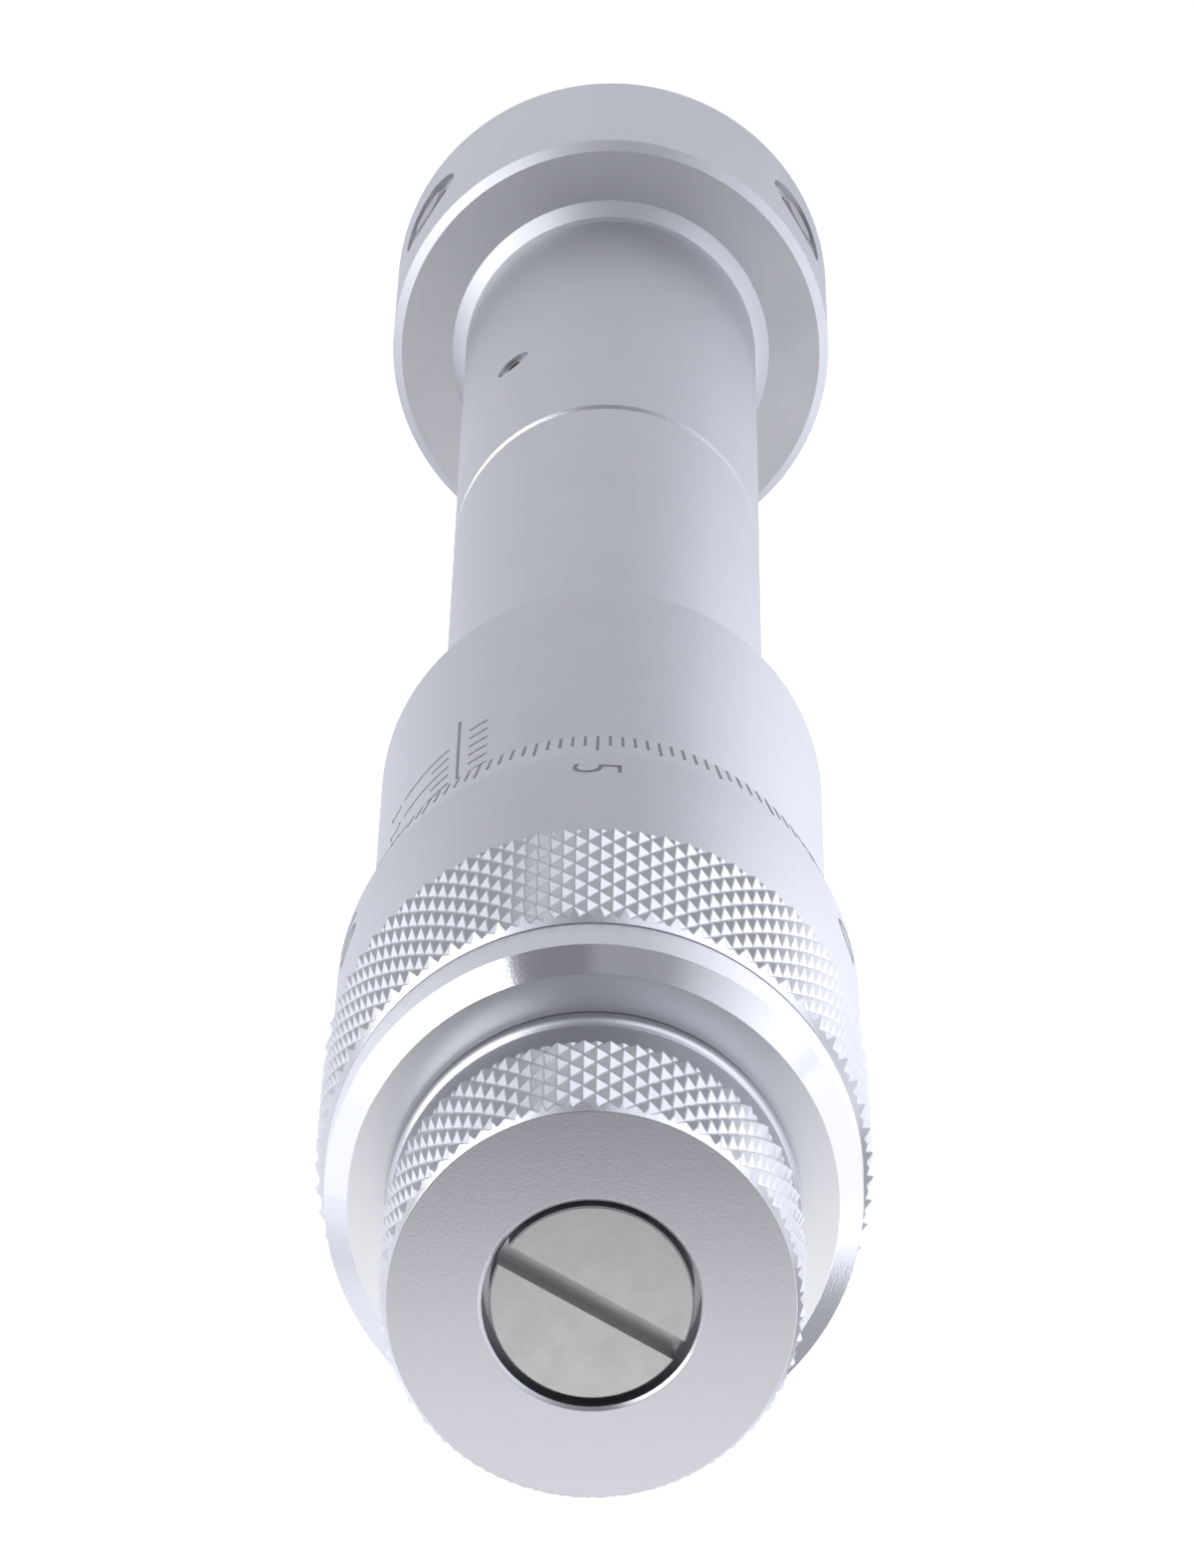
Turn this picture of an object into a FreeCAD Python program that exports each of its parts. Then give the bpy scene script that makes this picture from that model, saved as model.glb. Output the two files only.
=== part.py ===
import FreeCAD, Part
import math
import os
import re
import Sketcher
from FreeCAD import Placement, Rotation, Vector

# Three-point inside micrometer, anvils drawn in, standing on the flat end of its measuring head.
# The tool axis is Z. The measuring head is at the bottom and the ratchet knob at the top.
# The origin is the centre of the face that the head stands on. Sizes are in millimetres and degrees.

doc = FreeCAD.newDocument("inside_micrometer")
sheet = doc.addObject("Spreadsheet::Sheet", "sizes")
FULL_TURN = 360
LENGTHS_PER_TURN = 12
WIRE_SIDES = 6
MITRED = 1

# Driving dimensions

DRIVING_DIMENSIONS = [
    ("screw_lead", 0.635, "feed of the micrometer screw in one turn"),
    ("thimble_turns", 11, "turns from anvils in to anvils out"),
    ("fit_clearance", 0.02, "radial clearance of pieces that are fitted and stay put"),
    ("running_clearance", 0.04, "radial clearance of pieces that slide or turn"),
    ("head_diameter", 24.1, "measuring head, outside"),
    ("head_length", 14.4, "measuring head, from its end face to its shoulder"),
    ("head_edge", 0.5, "break of the shoulder's edge"),
    ("head_foot_chamfer", 0.25, "chamfer at the joint with the cover"),
    ("chamber_diameter", 12.0, "space for the cone"),
    ("chamber_depth", 13.1, "space for the cone, above the cover"),
    ("neck_collar_diameter", 17.5, "foot of the neck on the shoulder"),
    ("neck_collar_height", 0.75, "height of the sloping foot of the neck"),
    ("neck_diameter", 16.0, "neck above the shoulder"),
    ("neck_length", 1.6, "neck, from the shoulder to the tube"),
    ("head_spigot_length", 26.0, "part of the head that is inside the tube"),
    ("spring_chamber_diameter", 9.8, "space for the return spring"),
    ("spring_chamber_depth", 18.0, "space for the return spring"),
    ("cover_thickness", 1.5, "end cover"),
    ("cover_diameter", 23.3, "end cover"),
    ("cover_chamfer", 0.4, "chamfer of the edge that stands on the table"),
    ("cover_recess_diameter", 7.4, "recess for the small end of the cone"),
    ("cover_recess_depth", 0.5, "recess for the small end of the cone"),
    ("cover_screw_count", 3, "screws of the cover"),
    ("cover_screw_circle", 17.8, "pitch circle of the cover screws"),
    ("cover_screw_diameter", 1.6, "thread of the cover screws"),
    ("cover_screw_head_diameter", 2.9, "countersunk head"),
    ("cover_screw_head_height", 0.7, "countersunk head"),
    ("cover_screw_length", 4.0, "cover screws, whole length"),
    ("cover_screw_slot_width", 0.4, "driver slot"),
    ("cover_screw_slot_depth", 0.35, "driver slot"),
    ("anvil_count", 3, "anvils round the head"),
    ("anvil_heading", 90, "direction of the first anvil, from X towards Y"),
    ("anvil_height", 7.5, "anvil axis above the end face"),
    ("anvil_root_diameter", 6.4, "thick inner part of an anvil"),
    ("anvil_root_reach", 5.6, "thick part ends this far from the tool axis"),
    ("anvil_stem_diameter", 5.0, "thin outer part of an anvil"),
    ("anvil_reach", 11.7, "steel of an anvil ends this far from the tool axis"),
    ("anvil_chamfer", 0.25, "chamfer of the anvil's outer end"),
    ("anvil_foot_offset", 2.65, "sloping foot, from the tool axis at the anvil's own axis"),
    ("anvil_spring_floor", 10.5, "step that the anvil spring bears on, from the tool axis"),
    ("anvil_spring_wire", 0.44, "wire of the anvil spring"),
    ("anvil_spring_turns", 2.5, "turns of the anvil spring"),
    ("anvil_tip_diameter", 3.0, "hard-metal pin"),
    ("anvil_tip_reach", 11.95, "hard-metal pin ends this far from the tool axis"),
    ("anvil_tip_depth", 2.0, "length of the pin inside the anvil"),
    ("anvil_tip_chamfer", 0.3, "edge of the hard-metal pin"),
    ("cone_slope", 0.5, "growth of the cone's radius for each millimetre of height"),
    ("cone_end_gap", 0.315, "space left below the cone when the anvils are out"),
    ("cone_length", 5.4, "sloping part of the cone"),
    ("cone_land", 0.6, "short cylinder above the slope"),
    ("cone_clearance", 0.03, "gap between cone and anvil feet, measured along the radius"),
    ("cone_stem_diameter", 3.0, "stem of the cone inside the push rod"),
    ("cone_stem_length", 9.0, "stem of the cone inside the push rod"),
    ("rod_diameter", 5.0, "push rod"),
    ("rod_collar_diameter", 9.0, "collar that the return spring lifts"),
    ("rod_collar_thickness", 2.0, "collar that the return spring lifts"),
    ("rod_collar_lift", 16.0, "underside of the collar above the floor of the spring chamber"),
    ("return_spring_wire", 0.8, "wire of the return spring"),
    ("return_spring_diameter", 7.2, "return spring, mean diameter"),
    ("return_spring_turns", 8, "turns of the return spring"),
    ("ball_diameter", 4.0, "thrust ball between rod and screw"),
    ("ball_cup_depth", 2.5, "cup in the end of the rod"),
    ("tube_bore", 12.0, "bore of the front tube"),
    ("front_tube_diameter", 16.0, "front tube, outside"),
    ("front_tube_length", 36.1, "front tube, seen length"),
    ("front_tube_chamfer", 0.45, "bright chamfer at the front tube's upper end"),
    ("tube_spigot_diameter", 13.8, "end of the front tube inside the rear tube"),
    ("tube_spigot_length", 8.0, "end of the front tube inside the rear tube"),
    ("set_screw_heading", -49, "direction of the set screw, from X towards Y"),
    ("set_screw_height", 21.7, "set screw above the lower end of the front tube"),
    ("set_screw_diameter", 2.0, "set screw"),
    ("set_screw_length", 1.8, "set screw"),
    ("set_screw_point_length", 0.25, "bevel at the inner end of the set screw"),
    ("set_screw_point_diameter", 1.0, "inner end of the set screw"),
    ("set_screw_socket", 0.9, "hexagon socket, across corners"),
    ("set_screw_socket_sides", 6, "sides of the socket"),
    ("set_screw_socket_depth", 0.8, "hexagon socket"),
    ("rear_tube_diameter", 16.0, "rear tube, outside"),
    ("rear_tube_length", 40.9, "rear tube, seen length"),
    ("rear_tube_chamfer", 0.3, "chamfer at the rear tube's lower end"),
    ("rod_guide_length", 5.6, "web in the rear tube that guides the rod"),
    ("rear_tube_bore", 11.0, "bore above the web"),
    ("sleeve_diameter", 21.6, "graduated sleeve, outside"),
    ("sleeve_length", 40.0, "graduated sleeve"),
    ("sleeve_wall", 1.0, "graduated sleeve"),
    ("sleeve_lip", 2.0, "inward lip at the lower end of the sleeve"),
    ("sleeve_chamfer", 0.3, "edge of the sleeve's lower end"),
    ("nut_diameter", 14.0, "spindle nut, the part pressed into the barrel"),
    ("nut_seat_depth", 14.0, "seat of the spindle nut in the barrel"),
    ("nut_neck_diameter", 12.4, "slit neck of the spindle nut"),
    ("nut_neck_length", 10.0, "slit neck of the spindle nut"),
    ("nut_slit_count", 3, "slits of the spindle nut"),
    ("nut_slit_width", 0.8, "slits of the spindle nut"),
    ("nut_slit_depth", 7.0, "slits of the spindle nut"),
    ("adjuster_bore_diameter", 16.6, "space in the barrel round the adjusting nut"),
    ("adjuster_bore_depth", 12.0, "space in the barrel round the adjusting nut"),
    ("adjuster_diameter", 15.6, "adjusting nut"),
    ("adjuster_thickness", 4.0, "adjusting nut"),
    ("adjuster_lift", 3.5, "adjusting nut above the shoulder of the spindle nut"),
    ("adjuster_notch_count", 4, "spanner notches"),
    ("adjuster_notch_width", 1.6, "spanner notches"),
    ("adjuster_notch_depth", 0.9, "spanner notches"),
    ("spindle_tip_diameter", 6.0, "plain lower end of the screw"),
    ("spindle_tip_length", 18.0, "plain lower end of the screw"),
    ("thread_diameter", 8.0, "micrometer thread"),
    ("thread_length", 30.0, "micrometer thread"),
    ("thread_run_out", 0.5, "bevel at each end of the thread"),
    ("spindle_neck_diameter", 7.2, "relief above the thread"),
    ("spindle_neck_length", 7.0, "relief above the thread"),
    ("taper_foot_diameter", 10.4, "taper that carries the thimble, wide end"),
    ("taper_top_diameter", 9.2, "taper that carries the thimble, narrow end"),
    ("taper_length", 5.7, "taper that carries the thimble"),
    ("stud_diameter", 6.0, "stud that the cap is screwed on"),
    ("stud_length", 3.5, "stud that the cap is screwed on"),
    ("thimble_standoff", 25.1, "front edge of the thimble above the sleeve's lower end"),
    ("thimble_bore", 22.2, "bore of the thimble round the sleeve"),
    ("bevel_front_diameter", 22.85, "graduated bevel at its front edge"),
    ("bevel_length", 5.1, "graduated bevel"),
    ("thimble_diameter", 24.4, "plain band of the thimble"),
    ("plain_band_length", 11.2, "plain band of the thimble"),
    ("thimble_knurl_diameter", 25.1, "knurled band of the thimble"),
    ("thimble_knurl_length", 12.45, "knurled band of the thimble"),
    ("thimble_knurl_edge", 0.35, "slope at the front end of the knurled band"),
    ("thimble_chamfer_length", 0.85, "chamfer from the knurl down to the cap's diameter"),
    ("cap_gap_width", 0.15, "fine groove between thimble and cap"),
    ("cap_gap_depth", 0.5, "fine groove between thimble and cap"),
    ("cap_diameter", 24.1, "cap of the thimble"),
    ("cap_rim_length", 2.7, "plain rim of the cap"),
    ("cap_face_diameter", 21.95, "flat face of the cap"),
    ("cap_chamfer_length", 1.0, "polished chamfer of the cap"),
    ("knob_gap", 0.3, "space between the cap and the knob"),
    ("knob_length", 12.0, "ratchet knob"),
    ("knob_bead_diameter", 18.3, "light rounded rim next to the cap"),
    ("knob_bead_length", 0.7, "light rounded rim next to the cap"),
    ("knob_bead_edge", 0.2, "rounding of the rim"),
    ("knob_collar_diameter", 17.7, "plain collar below the knurl"),
    ("knob_collar_length", 2.3, "plain collar below the knurl"),
    ("knob_knurl_diameter", 18.8, "knurled band of the knob"),
    ("knob_face_diameter", 17.9, "flat face of the knob"),
    ("knob_edge_length", 0.8, "bright chamfer at the knob's face"),
    ("knob_hole_diameter", 9.6, "hole round the screw head"),
    ("knob_hole_depth", 2.3, "hole round the screw head"),
    ("knob_hole_chamfer", 0.15, "chamfer of the hole's rim"),
    ("knob_ledge_thickness", 1.3, "ledge under the screw head"),
    ("knob_cavity_diameter", 13.8, "space for the ratchet"),
    ("key_slot_reach", 7.9, "depth of the key slots, from the tool axis"),
    ("key_width", 2.0, "keys of the ratchet wheel"),
    ("key_reach", 7.75, "keys of the ratchet wheel, from the tool axis"),
    ("ratchet_screw_head_diameter", 8.95, "slotted head"),
    ("ratchet_screw_head_height", 2.0, "slotted head"),
    ("ratchet_screw_head_edge", 0.08, "break of the head's edge"),
    ("ratchet_screw_slot_width", 1.0, "driver slot"),
    ("ratchet_screw_slot_depth", 1.1, "driver slot"),
    ("ratchet_screw_slot_heading", 151.1, "direction of the driver slot, from X towards Y"),
    ("ratchet_screw_shoulder_diameter", 5.2, "shoulder that the ratchet turns on"),
    ("ratchet_screw_diameter", 4.0, "thread in the spindle"),
    ("ratchet_screw_thread_length", 11.0, "thread, with the part inside the seat"),
    ("ratchet_screw_end_play", 0.05, "play of the knob under the screw head"),
    ("ratchet_tooth_count", 24, "teeth of the ratchet faces"),
    ("ratchet_tooth_height", 0.8, "teeth at their outer end"),
    ("ratchet_diameter", 13.2, "toothed faces, outside"),
    ("ratchet_tooth_bore", 8.0, "toothed faces, inside"),
    ("ratchet_land_depth", 0.5, "flat inside the teeth, below the middle of the teeth"),
    ("ratchet_seat_thickness", 2.7, "seat, from the cap to the middle of the teeth"),
    ("ratchet_wheel_thickness", 2.6, "wheel, from the middle of the teeth to its back"),
    ("ratchet_mesh_gap", 0.06, "wheel lifted clear of the seat"),
    ("ratchet_backlash", 0.4, "wheel turned clear of the upright flanks"),
    ("ratchet_spring_wire", 0.6, "wire of the ratchet spring"),
    ("ratchet_spring_diameter", 8.4, "ratchet spring, mean diameter"),
    ("ratchet_spring_turns", 3, "turns of the ratchet spring"),
]

for row, (alias, size, note) in enumerate(DRIVING_DIMENSIONS, start=1):
    sheet.set(f"A{row}", alias)
    sheet.set(f"B{row}", str(size))
    sheet.setAlias(f"B{row}", alias)
    sheet.set(f"C{row}", note)
doc.recompute()

ALIASES = {alias for alias, size, note in DRIVING_DIMENSIONS}


def bound(text):
    """Give an expression with each size's name pointing at its cell in the sheet."""
    return re.sub(r"[a-z_]+", lambda word: f"sizes.{word[0]}" if word[0] in ALIASES else word[0], text)


def value(text):
    """Work an expression of named sizes out as a plain number."""
    number = sheet.evalExpression(bound(text))
    return float(getattr(number, "Value", number))


# Heights along the tool, each worked out from the pieces below it

shoulder = "head_length"
tube_foot = "(head_length + neck_length)"
tube_step = f"({tube_foot} + front_tube_length)"
sleeve_foot = f"({tube_step} + rear_tube_length)"
sleeve_top = f"({sleeve_foot} + sleeve_length)"
chamber_roof = "(cover_thickness + chamber_depth)"
spring_floor = f"({tube_foot} + head_spigot_length - spring_chamber_depth)"
nut_foot = f"({sleeve_top} - adjuster_bore_depth - nut_seat_depth)"
thimble_foot = f"({sleeve_foot} + thimble_standoff)"
thimble_body_length = "(bevel_length + plain_band_length + thimble_knurl_length + cap_gap_width)"
thimble_top = f"({thimble_foot} + {thimble_body_length})"
spindle_foot = f"({thimble_top} - taper_length - spindle_neck_length - thread_length - spindle_tip_length)"
cap_top = f"({thimble_top} + cap_rim_length + cap_chamfer_length)"
tooth_level = f"({cap_top} + ratchet_seat_thickness)"
knob_foot = f"({cap_top} + knob_gap)"
knob_ledge_top = f"({knob_foot} + knob_length - knob_hole_depth)"
cavity_depth = "(knob_length - knob_hole_depth - knob_ledge_thickness)"
cone_foot = "(cover_thickness - cover_recess_depth + screw_lead * thimble_turns + cone_end_gap)"
cone_top = f"({cone_foot} + cone_length + cone_land)"


# Making a piece


def new_body(label, height="0", heading="0"):
    """Start one piece, standing at a height on the tool axis and turned to a heading."""
    body = doc.addObject("PartDesign::Body", label)
    body.Label = label
    body.Placement = Placement(Vector(0, 0, value(height)), Rotation(Vector(0, 0, 1), value(heading)))
    body.setExpression("Placement.Base.z", bound(height))
    body.setExpression("Placement.Rotation.Angle", bound(heading))
    return body


def origin_part(body, role):
    """Find one of a body's own origin planes or axes."""
    return next(part for part in body.Origin.OriginFeatures if part.Role == role)


def new_sketch(body, name, plane):
    """Put an empty sketch on one of a body's own origin planes."""
    sketch = body.newObject("Sketcher::SketchObject", name)
    sketch.AttachmentSupport = (origin_part(body, plane), [""])
    sketch.MapMode = "FlatFace"
    return sketch


def hold(sketch, kind, geometry, place, text, name):
    """Tie one coordinate of a sketch point to an expression of named sizes."""
    if text == "0":
        axis = -2 if kind == "DistanceX" else -1
        sketch.addConstraint(Sketcher.Constraint("PointOnObject", geometry, place, axis))
        return
    index = sketch.addConstraint(Sketcher.Constraint(kind, -1, 1, geometry, place, value(text)))
    sketch.renameConstraint(index, name)
    sketch.setExpression(f"Constraints.{name}", bound(text))


def polygon(body, name, plane, corners):
    """Draw a closed outline whose corners are pairs of expressions."""
    sketch = new_sketch(body, name, plane)
    points = [Vector(value(across), value(along), 0) for across, along in corners]
    lines = [Part.LineSegment(a, b) for a, b in zip(points, points[1:] + points[:1])]
    sketch.addGeometry(lines, False)
    count = len(points)
    for index in range(count):
        sketch.addConstraint(Sketcher.Constraint("Coincident", index, 2, (index + 1) % count, 1))
    for index, (across, along) in enumerate(corners):
        hold(sketch, "DistanceX", index, 1, across, f"across_{index}")
        hold(sketch, "DistanceY", index, 1, along, f"along_{index}")
    return sketch


def circle(body, name, plane, across, along, radius):
    """Draw a circle whose centre and radius are expressions."""
    sketch = new_sketch(body, name, plane)
    centre = Vector(value(across), value(along), 0)
    sketch.addGeometry(Part.Circle(centre, Vector(0, 0, 1), value(radius)), False)
    hold(sketch, "DistanceX", 0, 3, across, "across")
    hold(sketch, "DistanceY", 0, 3, along, "along")
    index = sketch.addConstraint(Sketcher.Constraint("Radius", 0, value(radius)))
    sketch.renameConstraint(index, "radius")
    sketch.setExpression("Constraints.radius", bound(radius))
    return sketch


def revolve(body, name, sketch, axis="V_Axis"):
    """Turn an outline round the upright or the level axis of its sketch."""
    feature = body.newObject("PartDesign::Revolution", name)
    feature.Profile = sketch
    feature.ReferenceAxis = (sketch, [axis])
    feature.Angle = FULL_TURN
    body.Tip = feature
    doc.recompute()
    return feature


def turned(label, height, corners, heading="0"):
    """Make a piece that is turned on a lathe, from radius and height pairs of its outline."""
    body = new_body(label, height, heading)
    revolve(body, f"{label}_turned", polygon(body, f"{label}_outline", "XZ_Plane", corners))
    return body


def cut(body, name, sketch, length, forward=True, both_ways=False):
    """Cut a sketch's shape out of a body, along or against the normal of its plane."""
    before = body.Shape.Volume
    feature = body.newObject("PartDesign::Pocket", name)
    feature.Profile = sketch
    feature.Length = value(length)
    feature.setExpression("Length", bound(length))
    feature.Reversed = forward
    feature.Midplane = both_ways
    body.Tip = feature
    doc.recompute()
    assert body.Shape.Volume < before, f"{name} cuts nothing"
    return feature


def repeat_round(body, name, features, count):
    """Repeat cuts round the tool axis."""
    pattern = body.newObject("PartDesign::PolarPattern", name)
    pattern.Originals = features
    pattern.Axis = (origin_part(body, "Z_Axis"), [""])
    pattern.Angle = FULL_TURN
    pattern.Occurrences = int(value(count))
    pattern.setExpression("Occurrences", bound(count))
    body.Tip = pattern
    doc.recompute()
    return pattern


def bar(half_width, low, high):
    """Give the corners of a straight bar's outline, from one reach to another."""
    return [(low, f"-{half_width}"), (high, f"-{half_width}"), (high, half_width), (low, half_width)]


def coil(label, height, wire, mean_diameter, turns, low, high, lying=False, heading="0"):
    """Wind a spring between two levels of its own axis, as short straight lengths of six-sided wire.

    A spring stands upright on the tool axis, or lies along its heading.
    """
    radius = value(f"{mean_diameter} / 2")
    thickness = value(f"{wire} / 2")
    start = value(f"{low} + {wire} / 2 + fit_clearance")
    wound = value(f"{high} - {low} - {wire} - 2 * fit_clearance")
    count = round(value(turns) * LENGTHS_PER_TURN)
    step = math.tau / LENGTHS_PER_TURN
    points = [
        Vector(radius * math.cos(index * step), radius * math.sin(index * step), start + wound * index / count)
        for index in range(count + 1)
    ]
    along = (points[1] - points[0]).normalize()
    across = along.cross(Vector(0, 0, 1)).normalize()
    upward = across.cross(along).normalize()
    corners = []
    for index in range(WIRE_SIDES):
        angle = math.tau * index / WIRE_SIDES
        corners.append(points[0] + across * thickness * math.cos(angle) + upward * thickness * math.sin(angle))
    section = Part.makePolygon(corners + corners[:1])
    spring = doc.addObject("Part::Feature", label)
    spring.Label = label
    spring.Shape = Part.makePolygon(points).makePipeShell([section], True, False, MITRED)
    turn = Rotation(Vector(0, 0, 1), value(heading))
    if lying:
        turn = turn * Rotation(Vector(0, 1, 0), FULL_TURN / 4)
    spring.Placement = Placement(Vector(0, 0, value(height)), turn)
    return spring


def anvil_headings():
    """Give the heading of each anvil as an expression."""
    return [f"(anvil_heading + {index} * 360 / anvil_count)" for index in range(int(value("anvil_count")))]


# Measuring head: body, end cover and its screws


def make_head_body():
    """Turned head with the cone's chamber, a spigot for the tube and three stepped anvil bores."""
    head = "head_diameter / 2"
    spigot = "(tube_bore / 2 - fit_clearance)"
    guide = "(rod_diameter / 2 + running_clearance)"
    chamber = "chamber_diameter / 2"
    spring = "spring_chamber_diameter / 2"
    spigot_top = f"({tube_foot} + head_spigot_length)"
    body = turned("head_body", "0", [
        (chamber, "cover_thickness"),
        (f"{head} - head_foot_chamfer", "cover_thickness"),
        (head, "cover_thickness + head_foot_chamfer"),
        (head, f"{shoulder} - head_edge"),
        (f"{head} - head_edge", shoulder),
        ("neck_collar_diameter / 2", shoulder),
        ("neck_diameter / 2", f"{shoulder} + neck_collar_height"),
        ("neck_diameter / 2", tube_foot),
        (spigot, tube_foot),
        (spigot, spigot_top),
        (spring, spigot_top),
        (spring, spring_floor),
        (guide, spring_floor),
        (guide, chamber_roof),
        (chamber, chamber_roof),
    ], "anvil_heading")
    stem_hole = circle(body, "anvil_stem_hole", "YZ_Plane", "0", "anvil_height",
                       "anvil_stem_diameter / 2 + running_clearance")
    stem_cut = cut(body, "anvil_stem_bore", stem_hole, "head_diameter / 2 + head_edge")
    root_hole = circle(body, "anvil_root_hole", "YZ_Plane", "0", "anvil_height",
                       "anvil_root_diameter / 2 + running_clearance")
    root_cut = cut(body, "anvil_root_bore", root_hole, "anvil_spring_floor")
    repeat_round(body, "anvil_bores", [stem_cut, root_cut], "anvil_count")
    screw_hole = circle(body, "cover_screw_hole", "XY_Plane", "-cover_screw_circle / 2", "0",
                        "cover_screw_diameter / 2")
    screw_cut = cut(body, "cover_screw_bore", screw_hole, "cover_screw_length + cover_screw_head_height")
    repeat_round(body, "cover_screw_bores", [screw_cut], "cover_screw_count")
    return body


def make_head_cover():
    """End cover that the tool stands on, countersunk for its screws, with a recess for the cone's tip."""
    floor = "(cover_thickness - cover_recess_depth)"
    body = turned("head_cover", "0", [
        ("0", "0"),
        ("cover_diameter / 2 - cover_chamfer", "0"),
        ("cover_diameter / 2", "cover_chamfer"),
        ("cover_diameter / 2", "cover_thickness"),
        ("cover_recess_diameter / 2", "cover_thickness"),
        ("cover_recess_diameter / 2", floor),
        ("0", floor),
    ], "anvil_heading")
    middle = "cover_screw_circle / 2"
    wide = "(cover_screw_head_diameter / 2 + fit_clearance)"
    narrow = "(cover_screw_diameter / 2 + fit_clearance)"
    profile = polygon(body, "countersink_outline", "XZ_Plane", [
        (f"-{middle}", "0"),
        (f"-{middle} - {wide}", "0"),
        (f"-{middle} - {narrow}", "cover_screw_head_height"),
        (f"-{middle} - {narrow}", "cover_thickness"),
        (f"-{middle}", "cover_thickness"),
    ])
    across = -value(middle)
    centre_line = Part.LineSegment(Vector(across, 0, 0), Vector(across, value("cover_thickness"), 0))
    axis_line = profile.addGeometry(centre_line, True)
    profile.addConstraint(Sketcher.Constraint("Coincident", axis_line, 1, 0, 1))
    profile.addConstraint(Sketcher.Constraint("Coincident", axis_line, 2, 4, 1))
    before = body.Shape.Volume
    groove = body.newObject("PartDesign::Groove", "countersink")
    groove.Profile = profile
    groove.ReferenceAxis = (profile, ["Axis0"])
    groove.Angle = FULL_TURN
    body.Tip = groove
    doc.recompute()
    assert body.Shape.Volume < before, "the countersink cuts nothing"
    repeat_round(body, "countersinks", [groove], "cover_screw_count")
    return body


def make_cover_screws():
    """Countersunk screws of the cover: one is turned and slotted, and copies stand round the circle."""
    pattern_screw = turned("cover_screw", "0", [
        ("0", "0"),
        ("cover_screw_head_diameter / 2", "0"),
        ("cover_screw_diameter / 2", "cover_screw_head_height"),
        ("cover_screw_diameter / 2", "cover_screw_length"),
        ("0", "cover_screw_length"),
    ])
    slot = polygon(pattern_screw, "cover_screw_slot", "XY_Plane",
                   bar("cover_screw_slot_width / 2", "-cover_screw_head_diameter", "cover_screw_head_diameter"))
    cut(pattern_screw, "cover_screw_slot_cut", slot, "cover_screw_slot_depth")
    count = int(value("cover_screw_count"))
    turn = FULL_TURN / count
    screws = []
    for index in range(count):
        heading = Rotation(Vector(0, 0, 1), value("anvil_heading") + index * turn)
        screw = pattern_screw.Shape.copy()
        screw.Placement = Placement(heading.multVec(Vector(-value("cover_screw_circle") / 2, 0, 0)), heading)
        screws.append(screw)
    group = doc.addObject("Part::Feature", "cover_screws")
    group.Label = "cover_screws"
    group.Shape = Part.makeCompound(screws)
    return group


# Anvils, each with its hard-metal tip and its return spring


def make_anvil(index, heading):
    """Stepped anvil: a sloping foot rides on the cone, and a spring bears on the step."""
    root = "anvil_root_diameter / 2"
    stem = "anvil_stem_diameter / 2"
    pin = "(anvil_tip_diameter / 2 + fit_clearance)"
    pin_floor = "(anvil_tip_reach - anvil_tip_depth)"
    body = new_body(f"anvil_{index}", "anvil_height", heading)
    outline = polygon(body, f"anvil_{index}_outline", "XZ_Plane", [
        ("0", "0"),
        (pin_floor, "0"),
        (pin_floor, pin),
        ("anvil_reach", pin),
        ("anvil_reach", f"{stem} - anvil_chamfer"),
        ("anvil_reach - anvil_chamfer", stem),
        ("anvil_root_reach", stem),
        ("anvil_root_reach", root),
        ("0", root),
    ])
    revolve(body, f"anvil_{index}_turned", outline, "H_Axis")
    rise = "anvil_root_diameter"
    slope = polygon(body, f"anvil_{index}_slope", "XZ_Plane", [
        ("-anvil_root_diameter", f"-{rise}"),
        (f"anvil_foot_offset - cone_slope * {rise}", f"-{rise}"),
        (f"anvil_foot_offset + cone_slope * {rise}", rise),
        ("-anvil_root_diameter", rise),
    ])
    cut(body, f"anvil_{index}_foot", slope, "2 * anvil_root_diameter", both_ways=True)
    return body


def make_anvil_tip(index, heading):
    """Hard-metal pin set in the outer end of an anvil."""
    pin = "anvil_tip_diameter / 2"
    pin_floor = "(anvil_tip_reach - anvil_tip_depth)"
    body = new_body(f"anvil_tip_{index}", "anvil_height", heading)
    outline = polygon(body, f"anvil_tip_{index}_outline", "XZ_Plane", [
        (pin_floor, "0"),
        ("anvil_tip_reach", "0"),
        ("anvil_tip_reach", f"{pin} - anvil_tip_chamfer"),
        ("anvil_tip_reach - anvil_tip_chamfer / 2", pin),
        (pin_floor, pin),
    ])
    revolve(body, f"anvil_tip_{index}_turned", outline, "H_Axis")
    return body


def make_anvil_spring(index, heading):
    """Coil round an anvil's stem, between the step of the anvil and the step of its bore."""
    mean = "((anvil_stem_diameter + anvil_root_diameter) / 2 + running_clearance)"
    return coil(f"anvil_spring_{index}", "anvil_height", "anvil_spring_wire", mean, "anvil_spring_turns",
                "anvil_root_reach", "anvil_spring_floor", True, heading)


# Cone, push rod, thrust ball and return spring


def make_measuring_cone():
    """Cone that spreads the anvils as it is pushed down, with a stem for the push rod."""
    foot = f"(anvil_foot_offset + cone_slope * ({cone_foot} - anvil_height) - cone_clearance)"
    wide = f"({foot} + cone_slope * cone_length)"
    stem = "cone_stem_diameter / 2"
    return turned("measuring_cone", cone_foot, [
        ("0", "0"),
        (foot, "0"),
        (wide, "cone_length"),
        (wide, "cone_length + cone_land"),
        (stem, "cone_length + cone_land"),
        (stem, "cone_length + cone_land + cone_stem_length"),
        ("0", "cone_length + cone_land + cone_stem_length"),
    ])


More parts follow.
